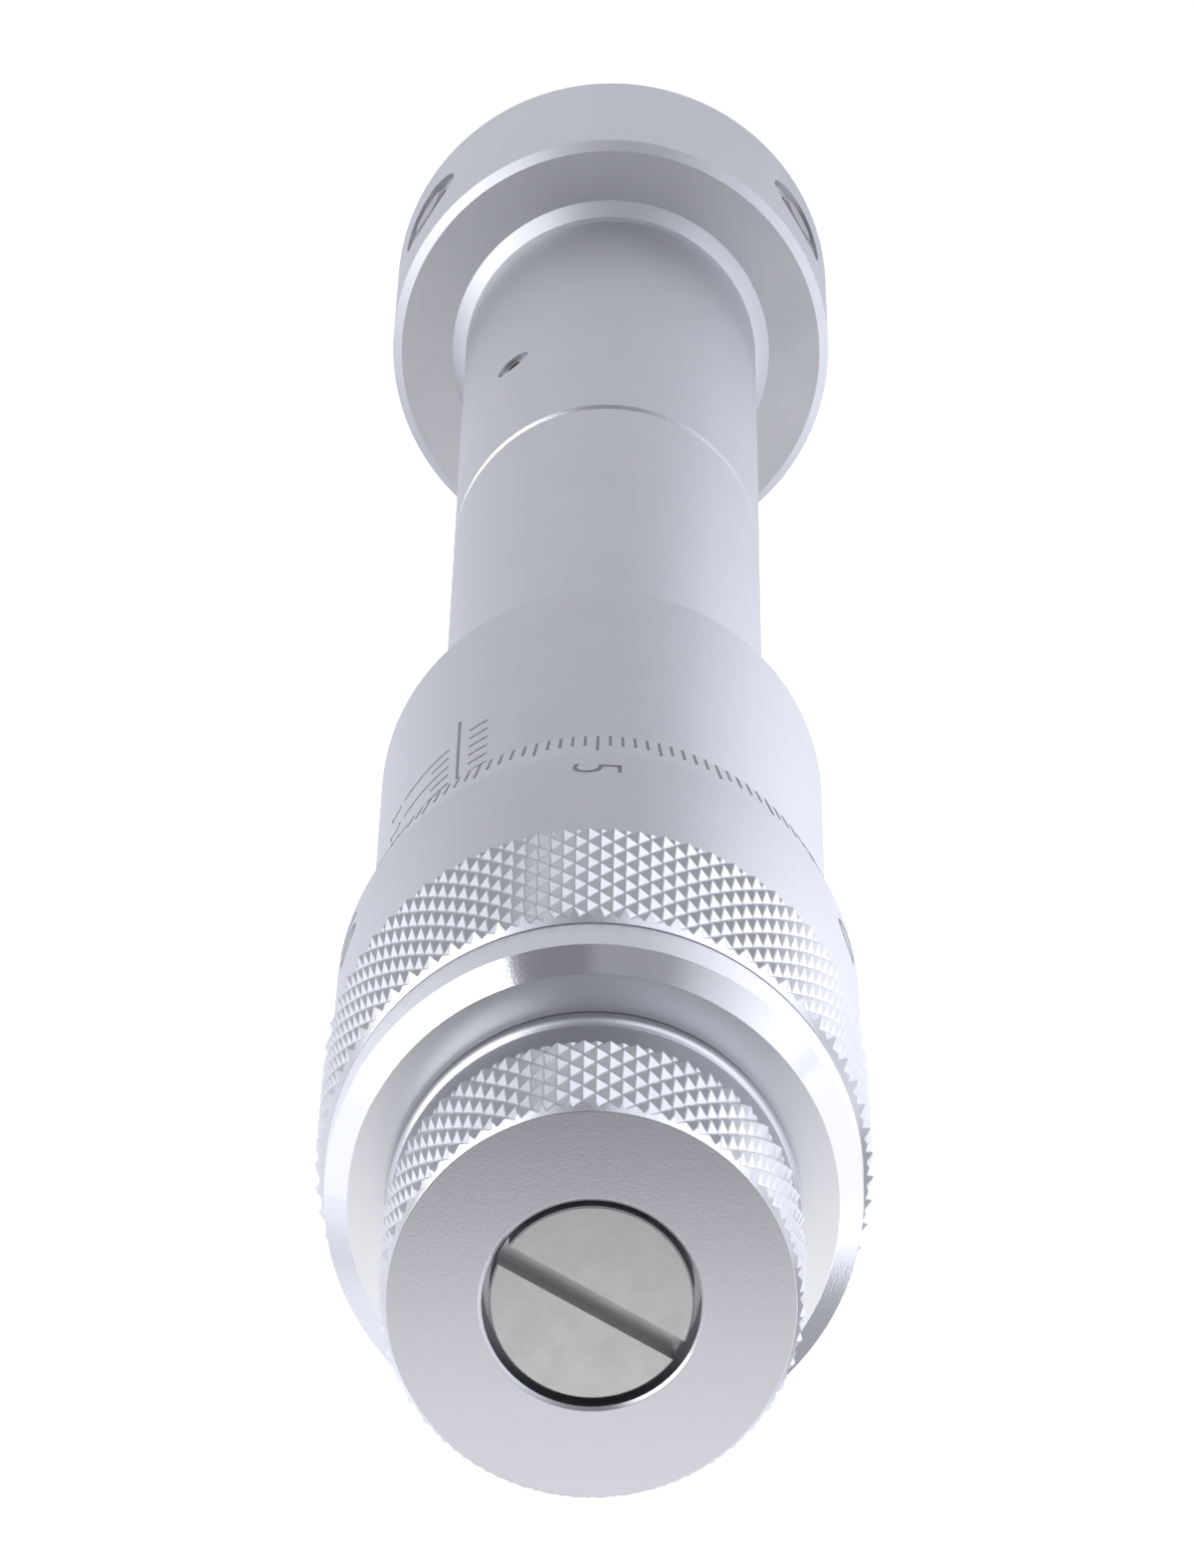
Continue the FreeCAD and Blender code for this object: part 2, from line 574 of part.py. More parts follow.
def make_push_rod():
    """Rod from the cone to the screw, with a collar for the return spring and a cup for the ball."""
    rod = "rod_diameter / 2"
    collar_foot = f"({spring_floor} + rod_collar_lift - {cone_top})"
    stem_hole = "(cone_stem_diameter / 2 + fit_clearance)"
    cup_floor = f"({spindle_foot} - ball_diameter - fit_clearance - {cone_top})"
    return turned("push_rod", cone_top, [
        (stem_hole, "0"),
        (rod, "0"),
        (rod, collar_foot),
        ("rod_collar_diameter / 2", collar_foot),
        ("rod_collar_diameter / 2", f"{collar_foot} + rod_collar_thickness"),
        (rod, f"{collar_foot} + rod_collar_thickness"),
        (rod, f"{cup_floor} + ball_cup_depth"),
        ("ball_diameter / 2 + fit_clearance", f"{cup_floor} + ball_cup_depth"),
        ("ball_diameter / 2 + fit_clearance", cup_floor),
        ("0", cup_floor),
        ("0", "cone_stem_length"),
        (stem_hole, "cone_stem_length"),
    ])


def make_thrust_ball():
    """Ball between the push rod, which only slides, and the screw, which turns."""
    ball = doc.addObject("Part::Sphere", "thrust_ball")
    ball.Label = "thrust_ball"
    ball.setExpression("Radius", bound("ball_diameter / 2"))
    ball.setExpression("Placement.Base.z", bound(f"{spindle_foot} - fit_clearance - ball_diameter / 2"))
    return ball


def make_return_spring():
    """Coil that lifts the rod's collar and so draws the cone back."""
    return coil("return_spring", spring_floor, "return_spring_wire", "return_spring_diameter",
                "return_spring_turns", "0", "rod_collar_lift")


# Tubes, set screw and graduated sleeve


def make_front_tube():
    """Extension tube between the head and the rear tube, tapped for the set screw."""
    tube = "front_tube_diameter / 2"
    spigot = "tube_spigot_diameter / 2"
    bore = "tube_bore / 2"
    body = turned("front_tube", tube_foot, [
        (bore, "0"),
        (tube, "0"),
        (tube, "front_tube_length - front_tube_chamfer"),
        (f"{tube} - front_tube_chamfer", "front_tube_length"),
        (spigot, "front_tube_length"),
        (spigot, "front_tube_length + tube_spigot_length"),
        (bore, "front_tube_length + tube_spigot_length"),
    ], "set_screw_heading")
    hole = circle(body, "set_screw_hole", "YZ_Plane", "0", "set_screw_height",
                  "set_screw_diameter / 2 + fit_clearance")
    cut(body, "set_screw_bore", hole, "front_tube_diameter")
    return body


def make_set_screw():
    """Headless screw that locks the head's spigot, with a hexagon socket in its outer end."""
    bottom = "(tube_bore / 2)"
    body = new_body("head_set_screw", f"{tube_foot} + set_screw_height", "set_screw_heading")
    outline = polygon(body, "set_screw_outline", "XZ_Plane", [
        (bottom, "0"),
        (f"{bottom} + set_screw_length", "0"),
        (f"{bottom} + set_screw_length", "set_screw_diameter / 2"),
        (f"{bottom} + set_screw_point_length", "set_screw_diameter / 2"),
        (bottom, "set_screw_point_diameter / 2"),
    ])
    revolve(body, "set_screw_turned", outline, "H_Axis")
    corner = "set_screw_socket / 2"
    side = f"({corner} * sin(360 / set_screw_socket_sides))"
    socket = polygon(body, "set_screw_socket_outline", "YZ_Plane", [
        (corner, "0"),
        (f"{corner} / 2", side),
        (f"-{corner} / 2", side),
        (f"-{corner}", "0"),
        (f"-{corner} / 2", f"-{side}"),
        (f"{corner} / 2", f"-{side}"),
    ])
    socket.AttachmentOffset = Placement(Vector(0, 0, value(f"{bottom} + set_screw_length")), Rotation())
    socket.setExpression("AttachmentOffset.Base.z", bound(f"{bottom} + set_screw_length"))
    cut(body, "set_screw_socket_cut", socket, "set_screw_socket_depth", forward=False)
    return body


def make_rear_tube():
    """Rear tube that widens into the barrel under the sleeve and holds the spindle nut."""
    tube = "rear_tube_diameter / 2"
    barrel = "(sleeve_diameter / 2 - sleeve_wall - fit_clearance)"
    socket = "(tube_spigot_diameter / 2 + fit_clearance)"
    guide = "(rod_diameter / 2 + running_clearance)"
    socket_depth = "(tube_spigot_length + rear_tube_chamfer)"
    web_top = f"({socket_depth} + rod_guide_length)"
    barrel_top = f"({sleeve_top} - {tube_step})"
    nut_seat = f"({barrel_top} - adjuster_bore_depth)"
    return turned("rear_tube", tube_step, [
        (socket, "0"),
        (f"{tube} - rear_tube_chamfer", "0"),
        (tube, "rear_tube_chamfer"),
        (tube, "rear_tube_length + sleeve_lip"),
        (barrel, "rear_tube_length + sleeve_lip"),
        (barrel, barrel_top),
        ("adjuster_bore_diameter / 2", barrel_top),
        ("adjuster_bore_diameter / 2", nut_seat),
        ("nut_diameter / 2", nut_seat),
        ("nut_diameter / 2", f"{nut_seat} - nut_seat_depth"),
        ("rear_tube_bore / 2", f"{nut_seat} - nut_seat_depth"),
        ("rear_tube_bore / 2", web_top),
        (guide, web_top),
        (guide, socket_depth),
        (socket, socket_depth),
    ])


def make_scale_sleeve():
    """Thin sleeve that carries the graduations, with an inward lip at its lower end."""
    outside = "sleeve_diameter / 2"
    inside = "(sleeve_diameter / 2 - sleeve_wall)"
    lip = "(rear_tube_diameter / 2 + fit_clearance)"
    return turned("scale_sleeve", sleeve_foot, [
        (lip, "0"),
        (f"{outside} - sleeve_chamfer", "0"),
        (outside, "sleeve_chamfer"),
        (outside, "sleeve_length"),
        (inside, "sleeve_length"),
        (inside, "sleeve_lip"),
        (lip, "sleeve_lip"),
    ])


# Spindle nut with its adjusting nut


def make_spindle_nut():
    """Nut of the micrometer screw, slit at its upper end so that it can be closed up."""
    seat = "(nut_diameter / 2 - fit_clearance)"
    thread = "(thread_diameter / 2 + running_clearance)"
    whole = "(nut_seat_depth + nut_neck_length)"
    body = turned("spindle_nut", nut_foot, [
        (thread, "0"),
        (seat, "0"),
        (seat, "nut_seat_depth"),
        ("nut_neck_diameter / 2", "nut_seat_depth"),
        ("nut_neck_diameter / 2", whole),
        (thread, whole),
    ])
    slit = polygon(body, "nut_slit", "XY_Plane", bar("nut_slit_width / 2", "0", "nut_diameter / 2"))
    slit.AttachmentOffset = Placement(Vector(0, 0, value(whole)), Rotation())
    slit.setExpression("AttachmentOffset.Base.z", bound(whole))
    first = cut(body, "nut_slit_cut", slit, "nut_slit_depth", forward=False)
    repeat_round(body, "nut_slits", [first], "nut_slit_count")
    return body


def make_adjusting_nut():
    """Ring nut on the slit neck, with spanner notches in its rim."""
    inside = "(nut_neck_diameter / 2 + fit_clearance)"
    outside = "adjuster_diameter / 2"
    body = turned("adjusting_nut", f"{nut_foot} + nut_seat_depth + adjuster_lift", [
        (inside, "0"),
        (outside, "0"),
        (outside, "adjuster_thickness"),
        (inside, "adjuster_thickness"),
    ])
    notch = polygon(body, "adjuster_notch", "XY_Plane",
                    bar("adjuster_notch_width / 2", f"{outside} - adjuster_notch_depth", "adjuster_diameter"))
    first = cut(body, "adjuster_notch_cut", notch, "adjuster_thickness")
    repeat_round(body, "adjuster_notches", [first], "adjuster_notch_count")
    return body


# Micrometer screw, thimble and cap


def make_spindle():
    """Micrometer screw with the taper that carries the thimble and the stud for the cap."""
    tip = "spindle_tip_diameter / 2"
    thread = "thread_diameter / 2"
    neck = "spindle_neck_diameter / 2"
    neck_foot = "(spindle_tip_length + thread_length)"
    taper_foot = f"({neck_foot} + spindle_neck_length)"
    taper_top = f"({taper_foot} + taper_length)"
    hole = "(ratchet_screw_diameter / 2 + fit_clearance)"
    thread_foot = f"({tooth_level} - ratchet_land_depth - ratchet_screw_thread_length)"
    hole_floor = f"({thread_foot} - ratchet_screw_end_play - {spindle_foot})"
    return turned("spindle", spindle_foot, [
        ("0", "0"),
        (tip, "0"),
        (tip, "spindle_tip_length"),
        (thread, "spindle_tip_length + thread_run_out"),
        (thread, f"{neck_foot} - thread_run_out"),
        (neck, neck_foot),
        (neck, taper_foot),
        ("taper_foot_diameter / 2", taper_foot),
        ("taper_top_diameter / 2", taper_top),
        ("stud_diameter / 2", taper_top),
        ("stud_diameter / 2", f"{taper_top} + stud_length"),
        (hole, f"{taper_top} + stud_length"),
        (hole, hole_floor),
        ("0", hole_floor),
    ])


def make_thimble():
    """Thimble: graduated bevel, plain band and knurled band, seated on the screw's taper."""
    plain = "thimble_diameter / 2"
    knurl = "thimble_knurl_diameter / 2"
    band_top = "(bevel_length + plain_band_length)"
    knurl_top = f"({band_top} + thimble_knurl_length)"
    roof = f"({thimble_body_length} - taper_length)"
    return turned("thimble", thimble_foot, [
        ("thimble_bore / 2", "0"),
        ("bevel_front_diameter / 2", "0"),
        (plain, "bevel_length"),
        (plain, band_top),
        (knurl, f"{band_top} + thimble_knurl_edge"),
        (knurl, f"{knurl_top} - thimble_chamfer_length"),
        ("cap_diameter / 2", knurl_top),
        ("cap_diameter / 2 - cap_gap_depth", knurl_top),
        ("cap_diameter / 2 - cap_gap_depth", thimble_body_length),
        ("taper_top_diameter / 2 + fit_clearance", thimble_body_length),
        ("taper_foot_diameter / 2 + fit_clearance", roof),
        ("thimble_bore / 2", roof),
    ])


def make_thimble_cap():
    """Cap with a broad polished chamfer, screwed on the stud to clamp the thimble."""
    stud = "(stud_diameter / 2 + fit_clearance)"
    return turned("thimble_cap", thimble_top, [
        (stud, "0"),
        ("cap_diameter / 2", "0"),
        ("cap_diameter / 2", "cap_rim_length"),
        ("cap_face_diameter / 2", "cap_rim_length + cap_chamfer_length"),
        (stud, "cap_rim_length + cap_chamfer_length"),
    ])


# Ratchet stop


def cut_face_teeth(body, name):
    """Cut saw teeth in a face: each has an upright flank and a ramp, and all meet on the axis."""
    tilt = "atan(ratchet_tooth_height / ratchet_diameter)"
    pitch = "(360 / ratchet_tooth_count)"
    ramp = f"(ratchet_tooth_height / ratchet_diameter * (1 + cos({pitch})) / sin({pitch}) * cos({tilt}))"
    rise = "(2 * ratchet_tooth_height)"
    gullet = polygon(body, f"{name}_gullet", "XZ_Plane", [
        ("0", "0"),
        (f"{rise} / {ramp}", rise),
        ("0", rise),
    ])
    gullet.AttachmentOffset = Placement(Vector(0, 0, 0), Rotation(Vector(1, 0, 0), -value(tilt)))
    gullet.setExpression("AttachmentOffset.Rotation.Angle", bound(f"-{tilt}"))
    first = cut(body, f"{name}_first_gullet", gullet, "ratchet_diameter", forward=False)
    repeat_round(body, f"{name}_teeth", [first], "ratchet_tooth_count")


def make_ratchet_seat():
    """Toothed seat on the cap, held by the ratchet screw. Height 0 is the middle of the teeth."""
    bore = "(ratchet_screw_diameter / 2 + fit_clearance)"
    body = turned("ratchet_seat", tooth_level, [
        (bore, "-ratchet_seat_thickness"),
        ("ratchet_diameter / 2", "-ratchet_seat_thickness"),
        ("ratchet_diameter / 2", "ratchet_tooth_height / 2"),
        ("ratchet_tooth_bore / 2", "ratchet_tooth_height / 2"),
        ("ratchet_tooth_bore / 2", "-ratchet_land_depth"),
        (bore, "-ratchet_land_depth"),
    ])
    cut_face_teeth(body, "ratchet_seat")
    return body


def make_ratchet_wheel():
    """Toothed wheel that slides in the knob on two keys, made teeth up and turned over."""
    body = new_body("ratchet_wheel")
    level = f"{tooth_level} + ratchet_mesh_gap"
    upside_down = Rotation(Vector(1, 0, 0), FULL_TURN / 2)
    mesh_turn = Rotation(Vector(0, 0, 1), -value("ratchet_backlash"))
    body.setExpression("Placement.Rotation.Angle", None)
    body.Placement = Placement(Vector(0, 0, value(level)), mesh_turn * upside_down)
    body.setExpression("Placement.Base.z", bound(level))
    revolve(body, "ratchet_wheel_turned", polygon(body, "ratchet_wheel_outline", "XZ_Plane", [
        ("0", "-ratchet_wheel_thickness"),
        ("ratchet_diameter / 2", "-ratchet_wheel_thickness"),
        ("ratchet_diameter / 2", "ratchet_tooth_height / 2"),
        ("ratchet_tooth_bore / 2", "ratchet_tooth_height / 2"),
        ("ratchet_tooth_bore / 2", "-ratchet_land_depth"),
        ("0", "-ratchet_land_depth"),
    ]))
    cut_face_teeth(body, "ratchet_wheel")
    keys = polygon(body, "ratchet_keys", "XY_Plane", bar("key_width / 2", "-key_reach", "key_reach"))
    keys.AttachmentOffset = Placement(Vector(0, 0, -value("ratchet_wheel_thickness")), Rotation())
    keys.setExpression("AttachmentOffset.Base.z", bound("-ratchet_wheel_thickness"))
    pad = body.newObject("PartDesign::Pad", "ratchet_key_pad")
    pad.Profile = keys
    pad.setExpression("Length", bound("ratchet_wheel_thickness - 2 * ratchet_land_depth"))
    body.Tip = pad
    doc.recompute()
    bore = circle(body, "ratchet_wheel_hole", "XY_Plane", "0", "0",
                  "ratchet_screw_shoulder_diameter / 2 + running_clearance")
    both_sides = "2 * (ratchet_wheel_thickness + ratchet_tooth_height)"
    cut(body, "ratchet_wheel_bore", bore, both_sides, both_ways=True)
    return body


def make_ratchet_spring():
    """Coil that presses the ratchet wheel on its seat, up against the knob's ledge."""
    back = f"({tooth_level} + ratchet_mesh_gap + ratchet_wheel_thickness)"
    return coil("ratchet_spring", back, "ratchet_spring_wire", "ratchet_spring_diameter",
                "ratchet_spring_turns", "0", f"({knob_ledge_top} - knob_ledge_thickness - {back})")


def make_ratchet_knob():
    """Knob with a rim, a plain collar, a knurled band, a hole for the screw head and key slots inside."""
    collar_foot = "(knob_bead_length + knob_bead_edge)"
    knurl_foot = f"({collar_foot} + knob_collar_length)"
    knurl = "knob_knurl_diameter / 2"
    collar = "knob_collar_diameter / 2"
    bead = "knob_bead_diameter / 2"
    hole = "knob_hole_diameter / 2"
    ledge = "(ratchet_screw_shoulder_diameter / 2 + running_clearance)"
    ledge_top = "(knob_length - knob_hole_depth)"
    cavity = "knob_cavity_diameter / 2"
    body = turned("ratchet_knob", knob_foot, [
        (cavity, "0"),
        (f"{bead} - knob_bead_edge", "0"),
        (bead, "knob_bead_edge"),
        (bead, "knob_bead_length"),
        (collar, collar_foot),
        (collar, knurl_foot),
        (knurl, f"{knurl_foot} + ({knurl} - {collar})"),
        (knurl, "knob_length - knob_edge_length"),
        ("knob_face_diameter / 2", "knob_length"),
        (f"{hole} + knob_hole_chamfer", "knob_length"),
        (hole, "knob_length - knob_hole_chamfer"),
        (hole, ledge_top),
        (ledge, ledge_top),
        (ledge, cavity_depth),
        (cavity, cavity_depth),
    ], "-ratchet_backlash")
    slots = polygon(body, "key_slots", "XY_Plane",
                    bar("(key_width / 2 + running_clearance)", "-key_slot_reach", "key_slot_reach"))
    cut(body, "key_slot_cut", slots, cavity_depth)
    return body


def make_ratchet_screw():
    """Slotted shoulder screw that holds the ratchet on the spindle. Height 0 is the foot of its shoulder."""
    shoulder_foot = f"({tooth_level} - ratchet_land_depth)"
    head_foot = f"({knob_ledge_top} + ratchet_screw_end_play - {shoulder_foot})"
    head_top = f"({head_foot} + ratchet_screw_head_height)"
    head = "ratchet_screw_head_diameter / 2"
    body = turned("ratchet_screw", shoulder_foot, [
        ("0", "-ratchet_screw_thread_length"),
        ("ratchet_screw_diameter / 2", "-ratchet_screw_thread_length"),
        ("ratchet_screw_diameter / 2", "0"),
        ("ratchet_screw_shoulder_diameter / 2", "0"),
        ("ratchet_screw_shoulder_diameter / 2", head_foot),
        (head, head_foot),
        (head, f"{head_top} - ratchet_screw_head_edge"),
        (f"{head} - ratchet_screw_head_edge", head_top),
        ("0", head_top),
    ], "ratchet_screw_slot_heading")
    slot = polygon(body, "driver_slot", "XY_Plane",
                   bar("ratchet_screw_slot_width / 2", "-ratchet_screw_head_diameter", "ratchet_screw_head_diameter"))
    slot.AttachmentOffset = Placement(Vector(0, 0, value(head_top)), Rotation())
    slot.setExpression("AttachmentOffset.Base.z", bound(head_top))
    cut(body, "driver_slot_cut", slot, "ratchet_screw_slot_depth", forward=False)
    return body


# The whole tool

pieces = [
    make_head_body(),
    make_head_cover(),
    make_cover_screws(),
    make_front_tube(),
    make_set_screw(),
    make_rear_tube(),
    make_scale_sleeve(),
    make_spindle_nut(),
    make_adjusting_nut(),
    make_measuring_cone(),
    make_push_rod(),
    make_thrust_ball(),
    make_return_spring(),
    make_spindle(),
    make_thimble(),
    make_thimble_cap(),
    make_ratchet_seat(),
    make_ratchet_wheel(),
    make_ratchet_spring(),
    make_ratchet_knob(),
    make_ratchet_screw(),
]
for number, direction in enumerate(anvil_headings(), start=1):
    pieces += [
        make_anvil(number, direction),
        make_anvil_tip(number, direction),
        make_anvil_spring(number, direction),
    ]
doc.recompute()

# Nothing is written unless every object and every solid is sound

failed = [item.Name for item in doc.Objects if {"Invalid", "Error"} & set(item.State)]
assert not failed, f"failed objects: {failed}"
for piece in pieces:
    assert not piece.Shape.isNull() and piece.Shape.isValid(), f"{piece.Label} has no sound shape"

os.makedirs("parts", exist_ok=True)
for piece in pieces:
    piece.Shape.exportStep(f"parts/{piece.Label}.step")
    print(f"{piece.Label}: {piece.Shape.Volume:.1f} mm3 in {len(piece.Shape.Solids)} solids")
print("feed", round(value("screw_lead * thimble_turns"), 4), "total", round(value(f"{knob_foot} + knob_length"), 3))
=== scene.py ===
# %% [markdown]
# # A three-point inside micrometer
#
# The tool measures bores. It stands on the flat end of its measuring head, and we look down its length from
# above the ratchet knob. The CAD frame already holds every solid of the tool at its true size, in metres, with
# the tool axis along Z. This lesson gives it what a CAD model leaves out: the finish of each metal, the knurls,
# copies of the springs that move with one body each, the graduations and their numbers, the light and the
# camera.

# %% Load the frame
import math

import bpy

from mathutils import Matrix, Vector


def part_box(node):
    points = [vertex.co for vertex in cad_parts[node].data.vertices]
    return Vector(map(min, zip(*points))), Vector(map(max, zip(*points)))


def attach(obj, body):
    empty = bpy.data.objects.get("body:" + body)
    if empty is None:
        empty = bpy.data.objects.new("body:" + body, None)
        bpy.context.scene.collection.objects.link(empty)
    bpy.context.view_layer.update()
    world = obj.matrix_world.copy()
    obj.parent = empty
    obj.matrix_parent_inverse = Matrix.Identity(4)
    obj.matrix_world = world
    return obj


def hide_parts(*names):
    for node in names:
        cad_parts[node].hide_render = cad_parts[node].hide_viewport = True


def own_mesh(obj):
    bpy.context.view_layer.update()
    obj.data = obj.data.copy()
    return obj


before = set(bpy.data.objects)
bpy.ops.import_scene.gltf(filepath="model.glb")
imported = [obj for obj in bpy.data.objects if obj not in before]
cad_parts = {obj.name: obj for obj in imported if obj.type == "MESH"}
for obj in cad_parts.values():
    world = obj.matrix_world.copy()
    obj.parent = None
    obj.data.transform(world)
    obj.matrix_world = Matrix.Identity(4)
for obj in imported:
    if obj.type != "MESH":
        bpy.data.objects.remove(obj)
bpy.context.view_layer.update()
MM = 0.001

# %% [markdown]
# Each place on the tool is read from the frame, so that the lines and the knurls sit on the solids that carry
# them. Heights are measured from the face that the tool stands on.


# %% Places on the tool
def foot_of(node):
    """Height of a node's lower end, in metres."""
    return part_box(node)[0].z


def top_of(node):
    """Height of a node's upper end, in metres."""
    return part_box(node)[1].z


def radius_of(node):
    """Largest radius of a turned node, in metres."""
    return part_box(node)[1].x


THIMBLE_FOOT = foot_of("thimble")
KNOB_FOOT = foot_of("ratchet_knob")
KNOB_FACE = top_of("ratchet_knob")
SLEEVE_RADIUS = radius_of("scale_sleeve")
print("thimble foot", round(THIMBLE_FOOT / MM, 2), "sleeve radius", round(SLEEVE_RADIUS / MM, 2))

# %% [markdown]
# ## Finishes
#
# Colours are written as they look on a screen and are turned to the linear values that the renderer works
# with. One small function adds a node with its settings and its links, and each finish is built from it.


# %% Colour and node helpers
def colour(code):
    """Turn an sRGB hex code into linear red, green, blue and alpha."""
    parts = [int(code[i:i + 2], 16) / 255 for i in (0, 2, 4)]
    return [p / 12.92 if p <= 0.04045 else ((p + 0.055) / 1.055) ** 2.4 for p in parts] + [1.0]


def add_node(tree, kind, inputs=None, **settings):
    """Add a node, set its properties, and give each named input a value or a link."""
    made = tree.nodes.new(kind)
    for name, value in settings.items():
        setattr(made, name, value)
    for name, value in (inputs or {}).items():
        if isinstance(value, bpy.types.NodeSocket):
            tree.links.new(value, made.inputs[name])
        else:
            made.inputs[name].default_value = value
    return made


def start_finish(name):
    """Start a finish: its node tree, its shader, and coordinates fixed to the piece."""
    material = bpy.data.materials.new(name)
    material.use_nodes = True
    tree = material.node_tree
    shader = tree.nodes["Principled BSDF"]
    place = add_node(tree, "ShaderNodeTexCoord").outputs["Object"]
    return material, tree, shader, place


def start_metal(name, base):
    """Start a finish of bare or plated metal in one colour."""
    material, tree, shader, place = start_finish(name)
    shader.inputs["Base Color"].default_value = colour(base)
    shader.inputs["Metallic"].default_value = 1.0
    return material, tree, shader, place


def add_noise(tree, place, scale, detail):
    """Give a cloudy pattern of a given fineness, from 0 to 1."""
    noise = add_node(tree, "ShaderNodeTexNoise", {"Vector": place, "Scale": scale, "Detail": detail})
    return noise.outputs["Fac"]


def uneven_roughness(tree, shader, pattern, smoothest, roughest):
    """Let the roughness drift between two values, where a pattern is low and where it is high."""
    tree.links.new(fade(tree, pattern, 0.3, 0.7, smoothest, roughest), shader.inputs["Roughness"])


def calculate(tree, operation, first, second):
    """Combine two numbers, or the outputs of two nodes, by an operation."""
    return add_node(tree, "ShaderNodeMath", {0: first, 1: second}, operation=operation).outputs[0]


def fade(tree, value, start, end, low=0.0, high=1.0):
    """Give a number that goes from low to high while a value goes from start to end."""
    return add_node(tree, "ShaderNodeMapRange", {
        "Value": value, "From Min": start, "From Max": end, "To Min": low, "To Max": high}).outputs["Result"]


def relief(tree, pattern, depth, normal=None):
    """Give the normals of a surface on which a pattern stands up by a depth."""
    inputs = {"Height": pattern, "Strength": 1.0, "Distance": depth}
    if normal is not None:
        inputs["Normal"] = normal
    return add_node(tree, "ShaderNodeBump", inputs).outputs["Normal"]


print("white is", colour("FFFFFF")[:3])

# %% [markdown]
# No turned edge is perfectly sharp. A rounding of a few hundredths of a millimetre catches a thin line of light,
# so each metal bends its shading round its edges, as if they were broken with a fine stone.

# %% Broken edges
EDGE_RADIUS = 0.05 * MM


def broken_edges(tree, radius=EDGE_RADIUS):
    """Give shading normals that turn smoothly round the edges of a piece."""
    return add_node(tree, "ShaderNodeBevel", {"Radius": radius}, samples=6).outputs["Normal"]


print("edge radius in mm:", EDGE_RADIUS / MM)

# %% [markdown]
# **Satin chrome** covers the tubes, the sleeve, the thimble and the head. The steel is blasted with fine beads
# and then plated, so it is bright but scatters light, and close up it has a fine sparkling grain. The grain is
# about 0.05 mm on the real tool. That is too fine to show in the render, so it is drawn 0.12 mm coarse. The
# measuring head is blasted a little coarser than the tubes.

# %% Satin chrome
GRAIN_SIZE = 0.12 * MM
CLOUD_SIZE = 1 / 220.0


def satin_chrome(name, base, rough, grain_height, edge_radius=EDGE_RADIUS):
    """A plated and blasted metal: a slight cloud in its roughness and a fine grain in its surface."""
    material, tree, shader, place = start_metal(name, base)
    clouds = add_noise(tree, place, 1 / CLOUD_SIZE, 3.0)
    uneven_roughness(tree, shader, clouds, rough - 0.03, rough + 0.03)
    grain = add_noise(tree, place, 1 / GRAIN_SIZE, 2.0)
    grained = relief(tree, grain, grain_height, broken_edges(tree, edge_radius))
    tree.links.new(grained, shader.inputs["Normal"])
    return material


CHROME = satin_chrome("blasted_satin_chrome", "D3D4D9", 0.36, 0.014 * MM)
HEAD_CHROME = satin_chrome("coarse_satin_chrome", "DBDCE0", 0.5, 0.009 * MM)
print(CHROME.name, len(CHROME.node_tree.nodes), "nodes;", HEAD_CHROME.name)

# %% [markdown]
# The **knurl** is plated with the rest, but its facets are formed by a rolled or cut tool and stay smoother
# than the blasted bands. They glint. The plating rounds the ridges and the bottoms of the grooves.

# %% Knurled chrome
RIDGE_RADIUS = 0.11 * MM
KNURL_CHROME = satin_chrome("knurled_chrome", "D8D9DD", 0.24, 0.005 * MM, RIDGE_RADIUS)
print(KNURL_CHROME.name)

# %% [markdown]
# The **turned faces** of the knob and of the cap carry very fine rings from the lathe. The broad chamfer of the
# cap is polished, so it mirrors the panels of light round it. One finish serves both: rings that follow the
# distance from the tool axis, and a lower roughness where the height lies on the chamfer.


# %% Turned chrome
RING_SIZE = 0.11 * MM


def turned_chrome(name, base, rough, polished_from, polished_to, polished_rough):
    """Chrome with fine lathe rings, and a polished belt between two heights."""
    material, tree, shader, place = start_metal(name, base)
    parts = add_node(tree, "ShaderNodeSeparateXYZ", {"Vector": place})
    flat = add_node(tree, "ShaderNodeCombineXYZ", {"X": parts.outputs["X"], "Y": parts.outputs["Y"]})
    distance = add_node(tree, "ShaderNodeVectorMath", {0: flat.outputs["Vector"]}, operation="LENGTH")
    rings = add_node(tree, "ShaderNodeTexNoise", {
        "W": distance.outputs["Value"], "Scale": 1 / RING_SIZE, "Detail": 2.0}, noise_dimensions="1D")
    ringed = relief(tree, rings.outputs["Fac"], 0.0009 * MM, broken_edges(tree))
    grained = relief(tree, add_noise(tree, place, 1 / GRAIN_SIZE, 2.0), 0.003 * MM, ringed)
    tree.links.new(grained, shader.inputs["Normal"])
    above = calculate(tree, "GREATER_THAN", parts.outputs["Z"], polished_from)
    below = calculate(tree, "LESS_THAN", parts.outputs["Z"], polished_to)
    belt = calculate(tree, "MULTIPLY", above, below)
    tree.links.new(fade(tree, belt, 0.0, 1.0, rough, polished_rough), shader.inputs["Roughness"])
    return material


CAP_TOP = top_of("thimble_cap")
CHAMFER_HEIGHT = 1.0 * MM
CHAMFER_MARGIN = 0.01 * MM
FAR_ABOVE = 1.0  # metres: a belt up there leaves the whole piece unpolished
CAP_CHROME = turned_chrome("turned_cap_chrome", "F0F1F4", 0.33, CAP_TOP - CHAMFER_HEIGHT + CHAMFER_MARGIN,
                           CAP_TOP - CHAMFER_MARGIN, 0.13)
FACE_CHROME = turned_chrome("turned_face_chrome", "D3D4D9", 0.31, FAR_ABOVE, FAR_ABOVE + 0.1, 0.2)
print(CAP_CHROME.name, FACE_CHROME.name)

# %% [markdown]
# The **ratchet screw** is nickel plated: a little warmer and duller than the chrome, with small stains where it
# has been handled.

